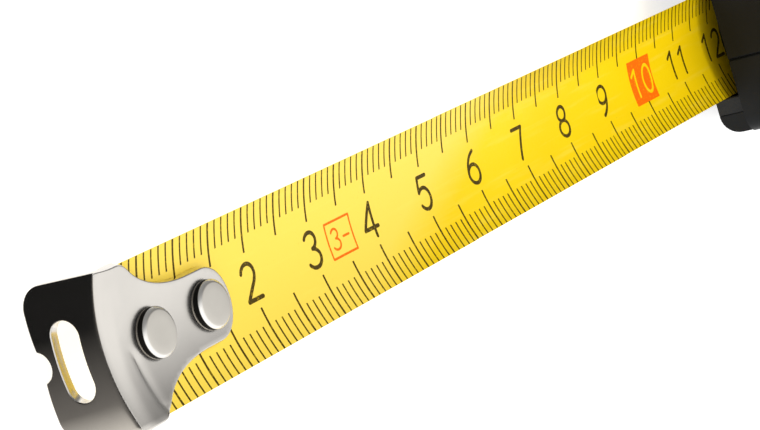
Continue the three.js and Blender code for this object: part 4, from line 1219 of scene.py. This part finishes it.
def make_key_light():
    data = bpy.data.lights.new("key", "AREA")
    data.shape = "RECTANGLE"
    data.size = data.size_y = KEY_SIZE
    data.energy = KEY_POWER
    light = bpy.data.objects.new("key", data)
    light.location = KEY_PLACE
    light.rotation_euler = (KEY_TARGET - KEY_PLACE).to_track_quat("-Z", "Y").to_euler()
    light.visible_glossy = False
    bpy.context.scene.collection.objects.link(light)


def floor_paper():
    """Pale paper that glows a little, so that it stays white away from the light."""
    n = Nodes("floor_paper")
    n.set("Base Color", (0.62, 0.62, 0.62, 1))
    n.set("Roughness", 0.9)
    n.set("Emission Color", (1, 1, 1, 1))
    n.set("Emission Strength", 0.72)
    return n.material


def fading_card():
    """A glowing painted reflection: black, then dark grey, then light grey towards +Y."""
    n = Nodes("painted_reflection_card")
    n.set("Base Color", (0, 0, 0, 1))
    n.set("Specular IOR Level", 0)
    n.set("Emission Strength", 1)
    across = n.along((-CARD_LEAN, 1, 0))
    start, middle, end = ((y - CARD_LEAN * ZERO_X) * MM for y in CARD_STOPS)
    dim = n.mix(n.spread(across, start, middle), CARD_BLACK, CARD_DARK)
    n.link(n.mix(n.spread(across, middle, end), dim, CARD_LIGHT), n.shader.inputs["Emission Color"])
    return n.material


def sheet(name, corners, z, material):
    mesh = bpy.data.meshes.new(name)
    mesh.from_pydata([(x, y, z) for x, y in corners], [], [tuple(range(len(corners)))])
    card = bpy.data.objects.new(name, mesh)
    card.data.materials.append(material)
    bpy.context.scene.collection.objects.link(card)
    return card


def make_world():
    world = bpy.data.worlds.new("studio")
    world.use_nodes = True
    tree = world.node_tree
    toward = tree.nodes.new("ShaderNodeVectorMath")
    toward.operation = "DOT_PRODUCT"
    toward.inputs[1].default_value = BRIGHT_SIDE
    tree.links.new(tree.nodes.new("ShaderNodeTexCoord").outputs["Generated"], toward.inputs[0])
    ramp = tree.nodes.new("ShaderNodeMapRange")
    ramp.interpolation_type = "SMOOTHSTEP"
    set_range(ramp, DIM_END, BRIGHT_START, DIM, BRIGHT)
    tree.links.new(toward.outputs["Value"], ramp.inputs["Value"])
    background = tree.nodes["Background"]
    background.inputs["Color"].default_value = (1, 1, 1, 1)
    tree.links.new(ramp.outputs["Result"], background.inputs["Strength"])
    bpy.context.scene.world = world


def make_studio():
    make_world()
    make_key_light()
    far = FLOOR_REACH
    square = ((-far, -far), (far, -far), (far, far), (-far, far))
    sheet("floor", square, SHELL_LOW.z * MM - FLOOR_DROP, floor_paper())
    corners = [(x * MM, y * MM) for x, y in CARD_CORNERS]
    card = sheet("dark_card", corners, CARD_HEIGHT * MM, fading_card())
    for seen in ("visible_camera", "visible_diffuse", "visible_shadow", "visible_transmission"):
        setattr(card, seen, False)
    view = bpy.context.scene.view_settings
    view.view_transform = "Standard"
    view.look = "None"


for strip_level in range(len(STRIPS)):
    make_strip(strip_level)
    print_scale(strip_level)
make_hook()
make_rivet("hook_rivet_front", FRONT_RIVET)
make_rivet("hook_rivet_rear", REAR_RIVET)
make_case()
make_label()
make_button()
make_clip()
for screw_number in range(1, 5):
    make_screw(f"case_screw_{screw_number}", sunk=0.22)
make_screw("clip_screw", dome=0.25)
finish_cad_nodes()
make_camera()
make_studio()
